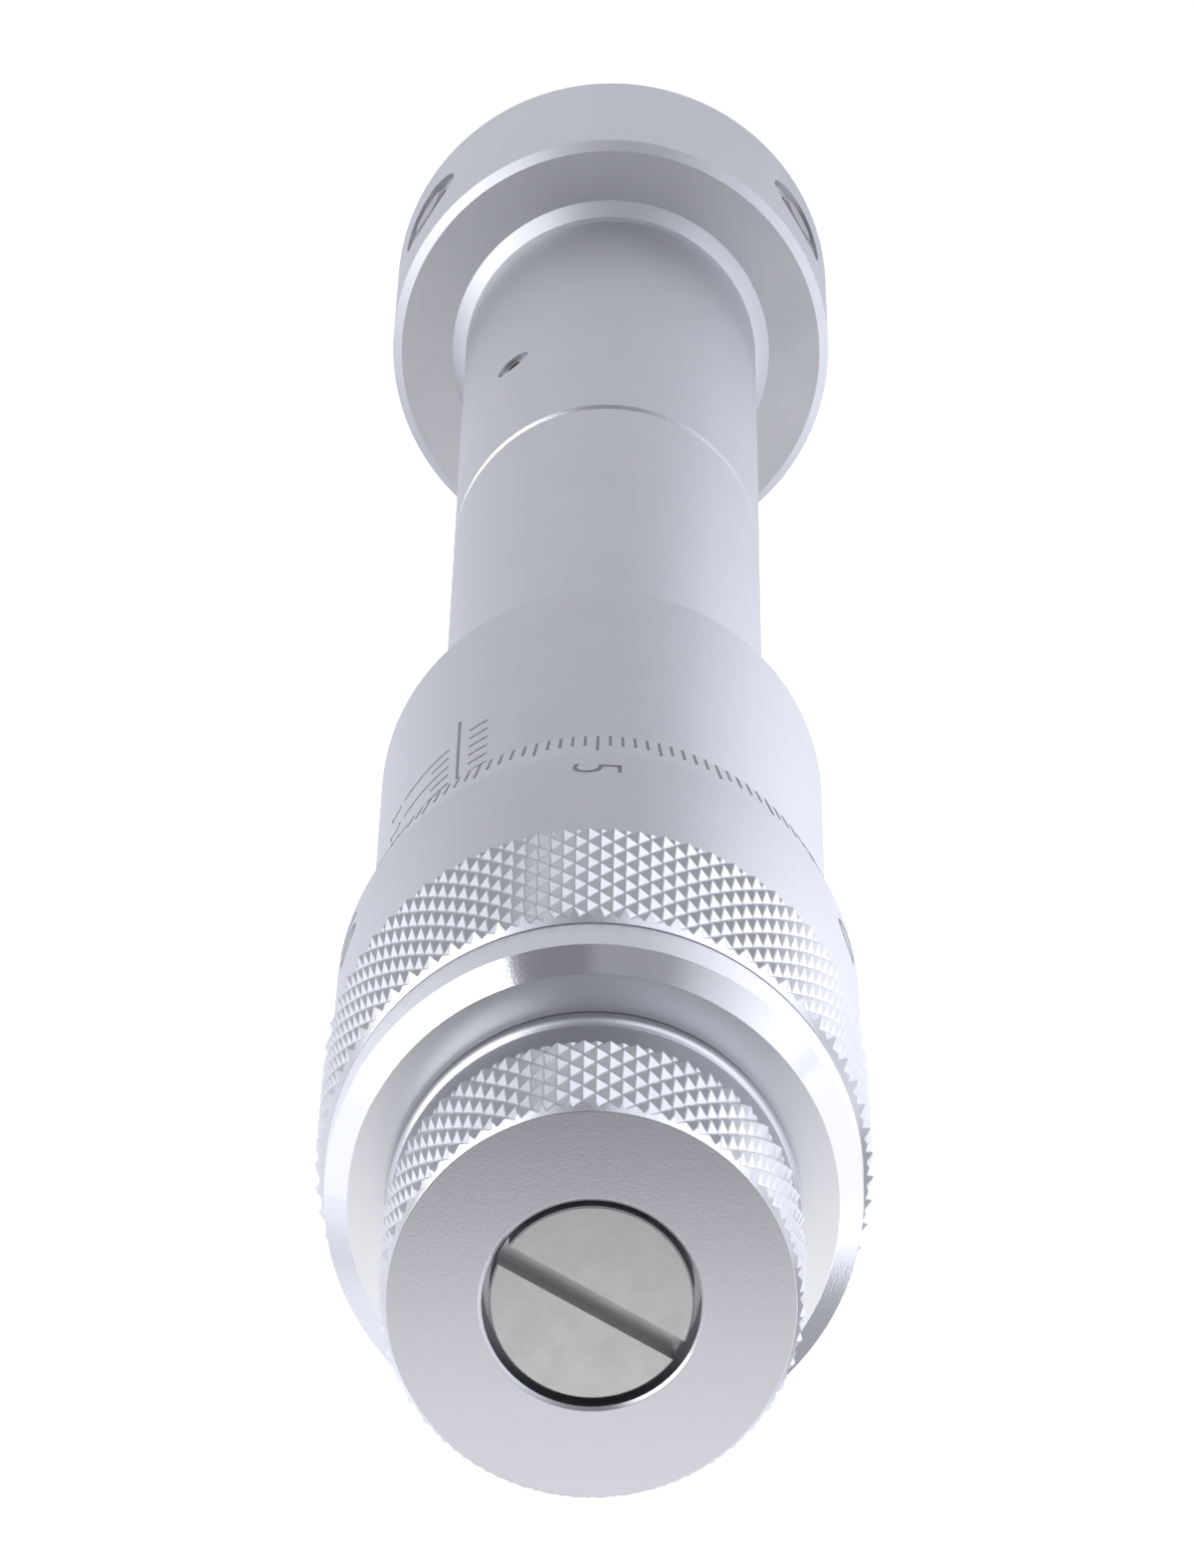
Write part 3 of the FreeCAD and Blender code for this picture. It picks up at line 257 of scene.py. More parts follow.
# %% Dull nickel
NICKEL, tree, shader, place = start_finish("dull_nickel")
shader.inputs["Metallic"].default_value = 1.0
stains = add_node(tree, "ShaderNodeTexNoise", {
    "Vector": place, "Scale": 900.0, "Detail": 6.0, "Roughness": 0.65})
tones = add_node(tree, "ShaderNodeMix", {
    "Factor": stains.outputs["Fac"], 6: colour("D6D6D6"), 7: colour("C2C2C1")}, data_type="RGBA")
tree.links.new(tones.outputs[2], shader.inputs["Base Color"])
uneven_roughness(tree, shader, stains.outputs["Fac"], 0.36, 0.46)
grit = relief(tree, add_noise(tree, place, 1 / GRAIN_SIZE, 3.0), 0.004 * MM)
tree.links.new(grit, shader.inputs["Normal"])
print(NICKEL.name)

# %% [markdown]
# The working pieces inside, the anvils and the set screw of the head are **ground steel**: the grinding wheel
# leaves fine lines round the axis. The springs are drawn wire, the anvil tips are lapped hard metal, and the
# screws of the head's cover are blackened.


# %% Ground, drawn, lapped and blackened metals
def worked_steel(name, base, rough, line_height):
    """Bare steel with fine lines across the tool axis."""
    material, tree, shader, place = start_metal(name, base)
    squeezed = add_node(tree, "ShaderNodeMapping", {"Vector": place, "Scale": (40.0, 40.0, 9000.0)})
    lines = add_noise(tree, squeezed.outputs["Vector"], 1.0, 3.0)
    uneven_roughness(tree, shader, lines, rough - 0.05, rough + 0.05)
    tree.links.new(relief(tree, lines, line_height), shader.inputs["Normal"])
    return material


GROUND_STEEL = worked_steel("ground_tool_steel", "C4C4C6", 0.28, 0.002 * MM)
SPRING_WIRE = worked_steel("drawn_spring_wire", "9C9C9F", 0.35, 0.002 * MM)
HARD_METAL = worked_steel("lapped_hard_metal", "8E8E93", 0.16, 0.001 * MM)
BLACK_STEEL = worked_steel("blackened_steel", "3B3B3E", 0.42, 0.002 * MM)
print(GROUND_STEEL.name, SPRING_WIRE.name, HARD_METAL.name, BLACK_STEEL.name)

# %% [markdown]
# The graduations are engraved and filled with **black enamel**, which is slightly glossy and never quite black.

# %% Enamel of the graduations
ENAMEL, tree, shader, place = start_finish("black_enamel")
wear = add_noise(tree, place, 2500.0, 4.0)
tones = add_node(tree, "ShaderNodeMix", {
    "Factor": wear, 6: colour("5C5D62"), 7: colour("83848A")}, data_type="RGBA")
tree.links.new(tones.outputs[2], shader.inputs["Base Color"])
shader.inputs["Roughness"].default_value = 0.45
print(ENAMEL.name)

# %% [markdown]
# Each CAD node takes the finish of the real piece.


# %% Finishes of the CAD nodes
def coat(piece, *finishes):
    """Give a piece its finishes in place of those it has."""
    piece.data.materials.clear()
    for finish in finishes:
        piece.data.materials.append(finish)


NODE_FINISH = {
    "head_body": HEAD_CHROME, "head_cover": HEAD_CHROME,
    "front_tube": CHROME, "rear_tube": CHROME, "scale_sleeve": CHROME,
    "thimble_cap": CAP_CHROME, "ratchet_screw": NICKEL, "cover_screws": BLACK_STEEL,
    "return_spring": SPRING_WIRE, "ratchet_spring": SPRING_WIRE,
    "anvil_spring_1": SPRING_WIRE, "anvil_spring_2": SPRING_WIRE, "anvil_spring_3": SPRING_WIRE,
    "anvil_tip_1": HARD_METAL, "anvil_tip_2": HARD_METAL, "anvil_tip_3": HARD_METAL,
}
for name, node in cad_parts.items():
    coat(node, NODE_FINISH.get(name, GROUND_STEEL))
print("finished nodes:", len(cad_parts))

# %% [markdown]
# ## Knurls
#
# A diamond knurl is a field of small four-sided pyramids between two sets of crossing grooves. A cylinder
# gives it: with its side cut into rows and columns, every second corner, as on a chessboard, is pushed
# inwards. The corners that stay are the points of the pyramids, and each square is split along the diagonal
# that joins its two low corners, which is the shorter one. The knurled bar is then crossed with a copy of the
# turned piece, which keeps the turned piece's chamfers, and the cut leaves the zigzag edge that a real knurl
# has where it is turned off.


# %% Selection helpers
def only(piece):
    """Deselect everything, then select one object and make it the active one."""
    bpy.ops.object.select_all(action="DESELECT")
    piece.select_set(True)
    bpy.context.view_layer.objects.active = piece


PARTS = {"VERT": "vertices", "EDGE": "edges", "FACE": "polygons"}


def select_parts(piece, kind, wanted):
    """In edit mode, select just those corners, edges or faces of a piece for which wanted(part) is true."""
    bpy.ops.mesh.select_mode(type=kind)
    bpy.ops.mesh.select_all(action="DESELECT")
    bpy.ops.object.mode_set(mode="OBJECT")
    for part in getattr(piece.data, PARTS[kind]):
        part.select = wanted(part)
    bpy.ops.object.mode_set(mode="EDIT")


# %% A knurled bar
CREASE = math.radians(28)  # edges sharper than this stay sharp


def knurled_bar(name, starts, foot, rows, row_height, peak, valley, clear):
    """Make a bar whose side is knurled upwards from foot, with a plain part of radius clear below it."""
    height = rows * row_height
    column = math.pi / starts
    bpy.ops.mesh.primitive_cylinder_add(
        vertices=2 * starts, radius=peak, depth=height, location=(0, 0, foot + height / 2))
    bar = bpy.context.active_object
    bar.name = name
    bpy.ops.object.transform_apply(location=True, rotation=True, scale=True)

    def is_upright(edge):
        a, b = (bar.data.vertices[i].co for i in edge.vertices)
        return abs(a.z - b.z) > height / 2

    def is_low(corner):
        across = round(math.atan2(corner.co.x, corner.co.y) / column)
        along = round((corner.co.z - foot) / row_height)
        return (across + along) % 2 == 1

    def is_foot(face):
        return len(face.vertices) > 4 and face.center.z < foot + row_height / 2

    bpy.ops.object.mode_set(mode="EDIT")
    select_parts(bar, "EDGE", is_upright)
    bpy.ops.mesh.subdivide(number_cuts=rows - 1)
    select_parts(bar, "VERT", is_low)
    bpy.ops.transform.resize(value=(valley / peak, valley / peak, 1), center_override=(0, 0, 0))
    select_parts(bar, "FACE", lambda face: len(face.vertices) == 4)
    bpy.ops.mesh.quads_convert_to_tris(quad_method="SHORTEST_DIAGONAL")
    select_parts(bar, "FACE", is_foot)
    bpy.ops.mesh.extrude_region_move()
    bpy.ops.transform.resize(value=(clear / valley, clear / valley, 1), center_override=(0, 0, foot))
    bpy.ops.mesh.extrude_region_move(TRANSFORM_OT_translate={"value": (0, 0, -20 * MM)})
    bpy.ops.object.mode_set(mode="OBJECT")
    return bar


def copy_of_node(node, name):
    """Copy a CAD node's mesh into a new object, with its doubled corners merged."""
    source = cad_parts[node]
    piece = bpy.data.objects.new(name, source.data.copy())
    bpy.context.scene.collection.objects.link(piece)
    only(piece)
    bpy.ops.object.mode_set(mode="EDIT")
    bpy.ops.mesh.select_all(action="SELECT")
    bpy.ops.mesh.remove_doubles(threshold=0.0005 * MM)
    bpy.ops.mesh.customdata_custom_splitnormals_clear()
    bpy.ops.object.mode_set(mode="OBJECT")
    return piece


def cross(piece, bar):
    """Keep what the turned piece and the knurled bar have in common, and put the bar away."""
    only(piece)
    common = piece.modifiers.new("knurl", "BOOLEAN")
    common.operation = "INTERSECT"
    common.solver = "EXACT"
    common.object = bar
    bpy.ops.object.modifier_apply(modifier=common.name)
    bpy.data.objects.remove(bar)
    bpy.ops.object.shade_smooth_by_angle(angle=CREASE)
    return piece


def coat_knurl(piece, plain, foot, inner, is_face=lambda face: True):
    """Coat a piece in a plain finish, and its faces above foot and outside the inner radius as a knurl."""
    coat(piece, plain, KNURL_CHROME)
    for face in piece.data.polygons:
        reach = math.hypot(face.center.x, face.center.y)
        if face.center.z > foot and reach > inner and is_face(face):
            face.material_index = 1


# %% [markdown]
# The thimble has 68 grooves each way round its rim, and a row of the chessboard is 1 mm high. The copy of the
# thimble brings its bevel, its plain band and its bore with it, and stands for the CAD node from here on.

# %% The knurled thimble
THIMBLE_STARTS = 68
THIMBLE_RIM = radius_of("thimble")
THIMBLE_ROWS = 14
ROW_HEIGHT = 1.0 * MM
THIMBLE_GROOVE = 0.32 * MM
THIMBLE_KNURL_DEPTH = 0.55 * MM  # how far in the knurl's faces reach, with the end chamfer
SPARE = 0.01 * MM  # the bar stands this much outside the turned piece
CLEAR = 0.5 * MM  # and its plain part this much
KNURL_FOOT = THIMBLE_FOOT + 15.9 * MM
thimble_bar = knurled_bar("thimble_bar", THIMBLE_STARTS, KNURL_FOOT, THIMBLE_ROWS, ROW_HEIGHT,
                          THIMBLE_RIM + SPARE, THIMBLE_RIM - THIMBLE_GROOVE, THIMBLE_RIM + CLEAR)
thimble = cross(copy_of_node("thimble", "knurled_thimble"), thimble_bar)
coat_knurl(thimble, CHROME, KNURL_FOOT, THIMBLE_RIM - THIMBLE_KNURL_DEPTH)
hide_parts("thimble")
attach(thimble, "thimble")
print("thimble faces:", len(thimble.data.polygons))

# %% [markdown]
# The knob's knurl has 50 grooves each way. Its band starts above the plain collar and runs out over the small
# chamfer at the face. The collar leans in a little with height, and a rounded rim runs round its foot, close to
# the cap: rings are cut into the copy and each is drawn to the radius of the rim or of the collar.

# %% The knurled knob
KNOB_STARTS = 50
KNOB_RIM = radius_of("ratchet_knob")
KNOB_ROWS = 10
KNOB_GROOVE = 0.31 * MM
KNOB_KNURL_DEPTH = 0.5 * MM
FLAT = 0.97  # a face whose normal's height is more than this belongs to the knob's flat face
KNOB_BAND = KNOB_FOOT + 3.0 * MM
RIM_RADIUS = KNOB_RIM - 0.08 * MM
RIM_FOOT_RADIUS = RIM_RADIUS - 0.12 * MM
RIM_DROP = 0.22 * MM  # how much nearer the rim comes to the cap
RIM_WIDEST = 0.35 * MM
RIM_TOP = 1.05 * MM
RING_HEIGHTS = (0.35, 0.5, 0.6, 0.8, 0.98, 1.02, 1.05, 1.8, 2.5)  # in mm, closer on the round
COLLAR_RADIUS = KNOB_RIM - 0.45 * MM
COLLAR_TOP = 3.2 * MM
COLLAR_LEAN = 0.1 * MM
OUTSIDE = COLLAR_RADIUS - 0.4 * MM  # corners farther out than this lie on the knob's outer side
NEAR = 0.1 * MM


def collar_radius(height):
    """Radius at a height above the knob's foot: the quarter round of the rim, then the leaning collar."""
    if height < RIM_TOP:
        climb = max(0.0, height - RIM_WIDEST) / (RIM_TOP - RIM_WIDEST)
        return COLLAR_RADIUS + (RIM_RADIUS - COLLAR_RADIUS) * math.sqrt(1 - climb ** 2)
    return COLLAR_RADIUS - COLLAR_LEAN * (height - RIM_TOP) / (COLLAR_TOP - RIM_TOP)


knob = copy_of_node("ratchet_knob", "knurled_knob")
bpy.ops.object.mode_set(mode="EDIT")
for height in RING_HEIGHTS:
    bpy.ops.mesh.select_all(action="SELECT")
    bpy.ops.mesh.bisect(plane_co=(0, 0, KNOB_FOOT + height * MM), plane_no=(0, 0, 1))
bpy.ops.object.mode_set(mode="OBJECT")
for corner in knob.data.vertices:
    reach = math.hypot(corner.co.x, corner.co.y)
    height = corner.co.z - KNOB_FOOT
    if reach > OUTSIDE and height < COLLAR_TOP + NEAR:
        at_foot = height < NEAR
        wanted = RIM_FOOT_RADIUS if at_foot else collar_radius(height)
        corner.co.x *= wanted / reach
        corner.co.y *= wanted / reach
        corner.co.z -= RIM_DROP if at_foot else 0
knob_bar = knurled_bar("knob_bar", KNOB_STARTS, KNOB_BAND, KNOB_ROWS, ROW_HEIGHT,
                       KNOB_RIM + SPARE, KNOB_RIM - KNOB_GROOVE, KNOB_RIM + CLEAR)
knob = cross(knob, knob_bar)
coat_knurl(knob, FACE_CHROME, KNOB_BAND, KNOB_RIM - KNOB_KNURL_DEPTH, lambda face: abs(face.normal.z) < FLAT)
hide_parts("ratchet_knob")
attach(knob, "ratchet_knob")
print("knob faces:", len(knob.data.polygons))

# %% [markdown]
# ## Springs
#
# A spring moves with no body as a whole: one end stays where it is and the other follows the piece that it
# presses. Each spring is copied from its CAD node, stands in its place, and moves with one body.


# %% The springs
WIRE_CREASE = math.radians(65)  # the wire has six sides, 60 degrees apart


def springy(node, body):
    """Put a smooth-shaded copy of a CAD spring in place of the node, moving with a body."""
    spring = copy_of_node(node, "flattening_" + node)
    bpy.ops.object.shade_smooth_by_angle(angle=WIRE_CREASE)
    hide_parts(node)
    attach(spring, body)
    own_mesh(spring)


springy("return_spring", "frame")
springy("ratchet_spring", "ratchet_knob")
for number, heading in ((1, 90), (2, 210), (3, 330)):
    springy(f"anvil_spring_{number}", "frame")

# %% [markdown]
# ## Graduations
#
# The lines and numbers are first drawn flat, as on a strip of paper: X runs round the tool and Y along its
# axis. Each line is a thin bar and each number is a text. The strip is cut across into narrow pieces, so that
# it can bend, and then wrapped round the tool. The enamel stands a hundredth of a millimetre proud, which
# keeps it clear of the metal below it.

# %% Drawing a line or a number
LINE_WIDTH = 0.145 * MM
PROUD = 0.012 * MM
SUNK = 0.03 * MM


def draw_line(x, y, width, length):
    """Draw one line of the scale, centred on x and y."""
    bpy.ops.mesh.primitive_cube_add(size=1, location=(x, y, (PROUD - SUNK) / 2))
    line = bpy.context.active_object
    line.scale = (width, length, PROUD + SUNK)
    bpy.ops.object.transform_apply(location=True, rotation=True, scale=True)
    return line


def draw_number(words, x, y, size):
    """Draw a number turned to read from the sleeve towards the knob."""
    bpy.ops.object.text_add(location=(x, y, 0))
    number = bpy.context.active_object
    number.data.body = words
    number.data.size = size
    number.data.align_x = "CENTER"
    number.data.align_y = "CENTER"
    number.data.offset = -0.02 * size
    number.data.extrude = (PROUD + SUNK) / 2
    number.data.resolution_u = 6
    number.location.z = (PROUD - SUNK) / 2
    number.rotation_euler.z = math.radians(90)
    bpy.ops.object.convert(target="MESH")
    number = bpy.context.active_object
    bpy.ops.object.transform_apply(location=True, rotation=True, scale=True)
    return number


def join(parts, name):
    """Join several drawn parts into one object."""
    only(parts[0])
    for part in parts:
        part.select_set(True)
    bpy.ops.object.join()
    joined = bpy.context.active_object
    joined.name = name
    return joined


def cut_across(piece, step):
    """Cut a flat drawing into strips, so that it can bend round the tool."""
    only(piece)
    low = min(corner.co.x for corner in piece.data.vertices)
    high = max(corner.co.x for corner in piece.data.vertices)
    bpy.ops.object.mode_set(mode="EDIT")
    count = int((high - low) / step)
    for index in range(1, count + 1):
        bpy.ops.mesh.select_all(action="SELECT")
        bpy.ops.mesh.bisect(plane_co=(low + index * step, 0, 0), plane_no=(1, 0, 0))
    bpy.ops.object.mode_set(mode="OBJECT")
    return count


def wrap(piece, drawn_radius, surface_radius):
    """Wrap a flat drawing round the tool. surface_radius(height) gives the metal's radius."""
    for corner in piece.data.vertices:
        angle = -corner.co.x / drawn_radius
        reach = surface_radius(corner.co.y) + corner.co.z
        corner.co = (-math.sin(angle) * reach, -math.cos(angle) * reach, corner.co.y)
    only(piece)
    bpy.ops.object.mode_set(mode="EDIT")
    bpy.ops.mesh.select_all(action="SELECT")
    bpy.ops.mesh.remove_doubles(threshold=0.0002 * MM)
    bpy.ops.mesh.normals_make_consistent(inside=False)
    bpy.ops.object.mode_set(mode="OBJECT")


def enamel(piece, body):
    """Finish a drawing as enamel that moves with a body."""
    coat(piece, ENAMEL)
    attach(piece, body)


# %% [markdown]
# The sleeve's datum line runs from under the thimble towards the head. Lines follow on both sides of it, one
# every half of 1.27 mm and on alternate sides. Every fourth line is long and carries a number, and the numbers
# grow towards the head, because the thimble moves that way as the anvils spread.

# %% The sleeve's scale
# Headings are in degrees from the side that faces the camera.
DATUM_HEADING = -39.4
LINE_STEP = 0.635 * MM
FIRST_LINE = KNOB_FACE - 44.703 * MM
DATUM_END = KNOB_FACE - 56.1 * MM
DATUM_START = THIMBLE_FOOT + 1.5 * MM
SIDE_LINE_WIDTH = 0.1 * MM
LINES = range(1, 15)
NUMBERED_LINES = (1, 5, 9, 13)
RIGHT_REACH = (3.4, 8.9)
LEFT_START = 3.1
SHORT_REACH = 9.2
LONG_REACH = 20.6
NUMBER_HEADING = -64.8
SLEEVE_NUMBER_SIZE = 1.5 * MM


def round_sleeve(heading):
    """Give the flat X of a heading in degrees on the sleeve. Headings grow to the right of the photo."""
    return -math.radians(heading) * SLEEVE_RADIUS


def sleeve_line(start, end, height):
    """Draw a line of the sleeve between two headings."""
    a, b = round_sleeve(start), round_sleeve(end)
    return draw_line((a + b) / 2, height, abs(a - b), SIDE_LINE_WIDTH)


datum_middle = (DATUM_START + DATUM_END) / 2
parts = [draw_line(round_sleeve(DATUM_HEADING), datum_middle, LINE_WIDTH, DATUM_START - DATUM_END)]
for k in LINES:
    height = FIRST_LINE - k * LINE_STEP
    if k % 2 == 0:
        parts.append(sleeve_line(DATUM_HEADING + RIGHT_REACH[0], DATUM_HEADING + RIGHT_REACH[1], height))
    else:
        reach = LONG_REACH if k in NUMBERED_LINES else SHORT_REACH
        parts.append(sleeve_line(DATUM_HEADING - LEFT_START, DATUM_HEADING - reach, height))
for index, k in enumerate(NUMBERED_LINES):
    height = FIRST_LINE - k * LINE_STEP
    parts.append(draw_number(str(index), round_sleeve(NUMBER_HEADING), height, SLEEVE_NUMBER_SIZE))
sleeve_scale = join(parts, "sleeve_graduations")
cut_across(sleeve_scale, 0.25 * MM)
wrap(sleeve_scale, SLEEVE_RADIUS, lambda height: SLEEVE_RADIUS)
enamel(sleeve_scale, "frame")
print("sleeve scale faces:", len(sleeve_scale.data.polygons))

# %% [markdown]
# The thimble's bevel has 125 lines. Every fifth is longer, and every twenty-fifth is longer still and has its
# number on the plain band behind it. A set of 25 lines is drawn once and repeated five times by an Array
# modifier.

# %% The thimble's scale
BEVEL_LENGTH = 5.1 * MM
BEVEL_FRONT = 11.425 * MM
BAND_RADIUS = 12.2 * MM
DIVISIONS = 125
DIVISION = math.tau * BAND_RADIUS / DIVISIONS
SETS = 5
SET = DIVISIONS // SETS
FIVE = 0.26 * MM
NUMBER_NUDGE = 0.12 * MM
NUMBER_HEIGHT = KNOB_FACE - 37.8 * MM
THIMBLE_NUMBER_SIZE = 3.5 * MM
TICK_FOOT = THIMBLE_FOOT + 0.05 * MM
TICK_LENGTHS = {"short": 2.4 * MM, "middle": 3.3 * MM, "long": 3.9 * MM}


def thimble_radius(height):
    """Radius of the thimble's bevel and plain band at a height."""
    share = min(1.0, max(0.0, (height - THIMBLE_FOOT) / BEVEL_LENGTH))
    return BEVEL_FRONT + share * (BAND_RADIUS - BEVEL_FRONT)


ticks = []
for index in range(SET):
    length = TICK_LENGTHS["long" if index == 0 else "middle" if index % 5 == 0 else "short"]
    ticks.append(draw_line(FIVE + index * DIVISION, TICK_FOOT + length / 2, LINE_WIDTH, length))
thimble_ticks = join(ticks, "thimble_graduations")
repeat = thimble_ticks.modifiers.new("five sets", "ARRAY")
repeat.count = SETS
repeat.use_relative_offset = False
repeat.use_constant_offset = True
repeat.constant_offset_displace = (SET * DIVISION, 0, 0)
only(thimble_ticks)
bpy.ops.object.modifier_apply(modifier=repeat.name)
numbers = []
for index, words in enumerate(("5", "10", "15", "20", "0")):
    across = FIVE + NUMBER_NUDGE + index * SET * DIVISION
    numbers.append(draw_number(words, across, NUMBER_HEIGHT, THIMBLE_NUMBER_SIZE))
thimble_scale = join([thimble_ticks] + numbers, "thimble_graduations")
cut_across(thimble_scale, 0.3 * MM)
wrap(thimble_scale, BAND_RADIUS, thimble_radius)
enamel(thimble_scale, "thimble")
print("thimble scale faces:", len(thimble_scale.data.polygons))

# %% [markdown]
# ## Floor, light and camera
#
# The tool stands on a white table. Metal shows what is round it, so the light is planned as a room: the table,
# a panel hung low behind the knob, a tall panel on each side, and a darker room on the camera's side.
#
# The table is seen in three ways. The camera sees it white, and it lights what stands on it as a matt sheet.
# Metal mirrors it dimmer, with a glow on it that is painted light and painted shade: patches that are lighter or
# darker stand in for the light and the shadows round the tool. Each patch fades in across the table (X, which
# grows to the left of the picture) and along it (Y, which grows to the bottom), from the first to the second
# distance in metres, and adds its share of light, or takes it away where the share is negative. Seen from below,
# the table is clear, so that the foot of the tool can be looked at.

# %% The table
TABLE_SINK = 0.02 * MM  # keeps the table clear of the face that stands on it
MIRRORED_GLOW = 0.24
ANYWHERE = (-9.0, -8.0)  # a fade that lies off the table
# Patches of painted light and painted shade in the glow that metal mirrors: a positive share paints light, a
# negative share paints shade.
PAINTED_LIGHT_PATCHES = (
    ((-0.02, -0.09), (-0.09, -0.05), 1.0),
    ((-0.05, -0.10), (-0.05, -0.09), 1.0),
    ((-0.04, -0.07), (0.03, 0.07), -0.6),
    ((-0.14, -0.22), ANYWHERE, -0.8),
    ((-0.20, -0.30), (-0.15, -0.30), 1.4),
    ((0.06, 0.11), (-0.10, -0.05), 0.5),
    ((0.15, 0.22), ANYWHERE, -0.3),
    ((0.15, 0.28), (-0.15, -0.30), 1.3),
    (ANYWHERE, (-0.12, -0.06), 0.24),
    (ANYWHERE, (-0.04, 0.04), 0.2),
)
bpy.ops.object.select_all(action="DESELECT")
bpy.ops.mesh.primitive_plane_add(size=6.0, location=(0, 0, -TABLE_SINK))
table = bpy.context.active_object
table.name = "table"
PAPER, tree, shader, place = start_finish("white_table")
tree.nodes.remove(shader)
matt = add_node(tree, "ShaderNodeBsdfDiffuse", {"Color": colour("F4F4F4")})
glow = add_node(tree, "ShaderNodeEmission", {"Color": colour("FFFFFF"), "Strength": 0.75})
seen = add_node(tree, "ShaderNodeAddShader", {0: matt.outputs[0], 1: glow.outputs[0]})
parts = add_node(tree, "ShaderNodeSeparateXYZ", {"Vector": place})
bright = MIRRORED_GLOW
for across, along, share in PAINTED_LIGHT_PATCHES:
    painted_patch = share
    for axis, (start, end) in (("X", across), ("Y", along)):
        painted_patch = calculate(tree, "MULTIPLY", painted_patch, fade(tree, parts.outputs[axis], start, end))
    bright = calculate(tree, "ADD", bright, painted_patch)
# Metal sees the table as a darker matt with this glow of painted light and painted shade added to it.
painted_glow = add_node(tree, "ShaderNodeEmission", {"Color": colour("F4F5FF"), "Strength": bright})
dull = add_node(tree, "ShaderNodeBsdfDiffuse", {"Color": colour("A0A0A0")})
shown = add_node(tree, "ShaderNodeAddShader", {0: dull.outputs[0], 1: painted_glow.outputs[0]})
light_path = add_node(tree, "ShaderNodeLightPath")
blend = add_node(tree, "ShaderNodeMixShader", {
    "Fac": light_path.outputs["Is Glossy Ray"], 1: matt.outputs[0], 2: shown.outputs[0]})
blend = add_node(tree, "ShaderNodeMixShader", {
    "Fac": light_path.outputs["Is Camera Ray"], 1: blend.outputs[0], 2: seen.outputs[0]})
sides = add_node(tree, "ShaderNodeNewGeometry")
clear = add_node(tree, "ShaderNodeBsdfTransparent")
blend = add_node(tree, "ShaderNodeMixShader", {
    "Fac": sides.outputs["Backfacing"], 1: blend.outputs[0], 2: clear.outputs[0]})
tree.links.new(blend.outputs[0], tree.nodes["Material Output"].inputs["Surface"])
table.data.materials.append(PAPER)
print("table", table.dimensions[:2])


# %% The panels of light
def panel(name, place, target, width, height, watts):
    """Hang a soft rectangular light at a place, facing a target."""
    data = bpy.data.lights.new(name, "AREA")
    data.shape = "RECTANGLE"
    data.size, data.size_y, data.energy = width, height, watts
    lamp = bpy.data.objects.new(name, data)
    bpy.context.scene.collection.objects.link(lamp)
    lamp.location = place
    lamp.visible_camera = False
    lamp.rotation_euler = (Vector(target) - Vector(place)).to_track_quat("-Z", "Y").to_euler()
    return lamp


panel("overhead_panel", (0, 0.076, 0.216), (0, 0.076, 0), 0.24, 0.12, 0.085)
panel("left_panel", (0.36, -0.26, 0.20), (0, 0, 0.15), 0.42, 0.40, 0.95)
panel("right_panel", (-0.44, 0.04, 0.20), (0, 0, 0.15), 0.36, 0.40, 0.16)

# %% [markdown]
# The world is a pale room for the surfaces that it lights and for what metal mirrors, a good deal darker on the
# side where the camera stands. The camera itself sees it as plain white. Each fade multiplies the light of the
# room by its factor where a direction's X or Z passes from the first value to the second. A last, darker band
# is the shade of the camera's stand, a little to the left of the tool.

# %% The room
ROOM_LIGHT = 0.40
ROOM_FADES = (
    ("X", -0.33, -0.52, 1.95),
    ("X", -0.52, -0.82, 1.7),
    ("X", -0.88, -0.95, 0.62),
    ("X", 0.75, 0.95, 3.0),
    ("Z", 0.3, 0.9, 0.5),
)
STAND_RIGHT = (0.01, 0.05)
STAND_LEFT = (0.42, 0.37)
STAND_SHADE = 0.68
world = bpy.data.worlds.new("room")
bpy.context.scene.world = world
world.use_nodes = True
tree = world.node_tree
tree.nodes.clear()
direction = add_node(tree, "ShaderNodeTexCoord")
parts = add_node(tree, "ShaderNodeSeparateXYZ", {"Vector": direction.outputs["Generated"]})
light = ROOM_LIGHT
for axis, start, end, factor in ROOM_FADES:
    light = calculate(tree, "MULTIPLY", light, fade(tree, parts.outputs[axis], start, end, 1.0, factor))
right_side = fade(tree, parts.outputs["X"], *STAND_RIGHT)
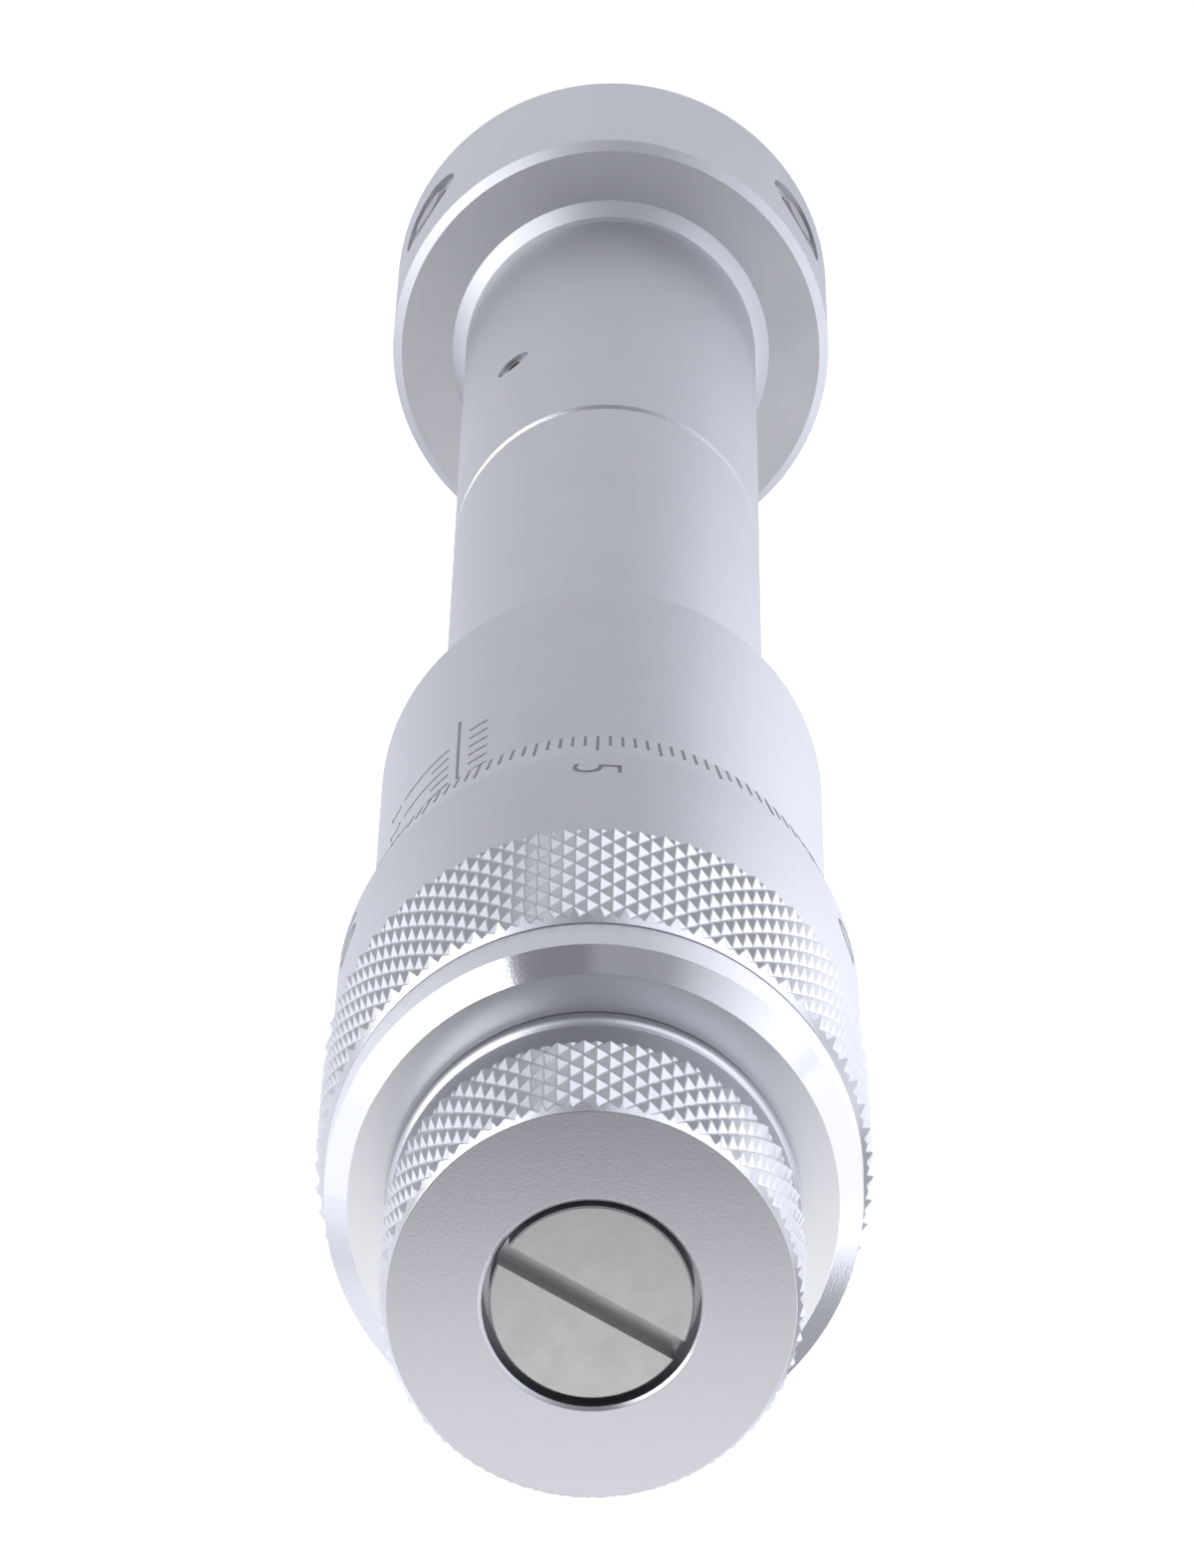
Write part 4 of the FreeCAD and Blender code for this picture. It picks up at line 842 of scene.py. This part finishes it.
left_side = fade(tree, parts.outputs["X"], *STAND_LEFT)
stand = calculate(tree, "MULTIPLY", right_side, left_side)
light = calculate(tree, "MULTIPLY", light, fade(tree, stand, 0.0, 1.0, 1.0, STAND_SHADE))
room = add_node(tree, "ShaderNodeBackground", {"Color": colour("F4F5FF"), "Strength": light})
white = add_node(tree, "ShaderNodeBackground", {"Color": colour("FFFFFF"), "Strength": 1.0})
light_path = add_node(tree, "ShaderNodeLightPath")
choice = add_node(tree, "ShaderNodeMixShader", {
    "Fac": light_path.outputs["Is Camera Ray"], 1: room.outputs[0], 2: white.outputs[0]})
add_node(tree, "ShaderNodeOutputWorld", {"Surface": choice.outputs[0]})
print("world nodes:", len(tree.nodes))

# %% [markdown]
# The camera stands about half a metre above the knob and looks down 18 degrees off the tool axis, through a
# long lens, so that the head at the far end still looks almost as large as the knob. It is turned by about one
# degree, as in the photograph.

# %% The camera
LONG_SIDE = 1576
FOCAL_PIXELS = 12000
SENSOR = 36.0
TILT = math.radians(18.25)
ROLL = math.radians(1.22)
AIM = Vector((0, 0, KNOB_FACE - 72.4 * MM))
DISTANCE = 588.2 * MM
SIDE_SHIFT = 0.245 * MM
lens = bpy.data.cameras.new("camera")
lens.sensor_width = SENSOR
lens.lens = SENSOR * FOCAL_PIXELS / LONG_SIDE
camera = bpy.data.objects.new("camera", lens)
bpy.context.scene.collection.objects.link(camera)
forward = Vector((0, math.sin(TILT), -math.cos(TILT)))
level_right = Vector((-1, 0, 0))
level_up = Vector((0, -math.cos(TILT), -math.sin(TILT)))
up = level_up * math.cos(ROLL) - level_right * math.sin(ROLL)
right = level_right * math.cos(ROLL) + level_up * math.sin(ROLL)
turn = Matrix((right, up, -forward)).transposed()
camera.matrix_world = Matrix.Translation(AIM - forward * DISTANCE - right * SIDE_SHIFT) @ turn.to_4x4()
lens.clip_start, lens.clip_end = 0.01, 20
bpy.context.scene.camera = camera
bpy.context.scene.view_settings.view_transform = "Standard"
print("camera at", [round(x, 4) for x in camera.matrix_world.translation])
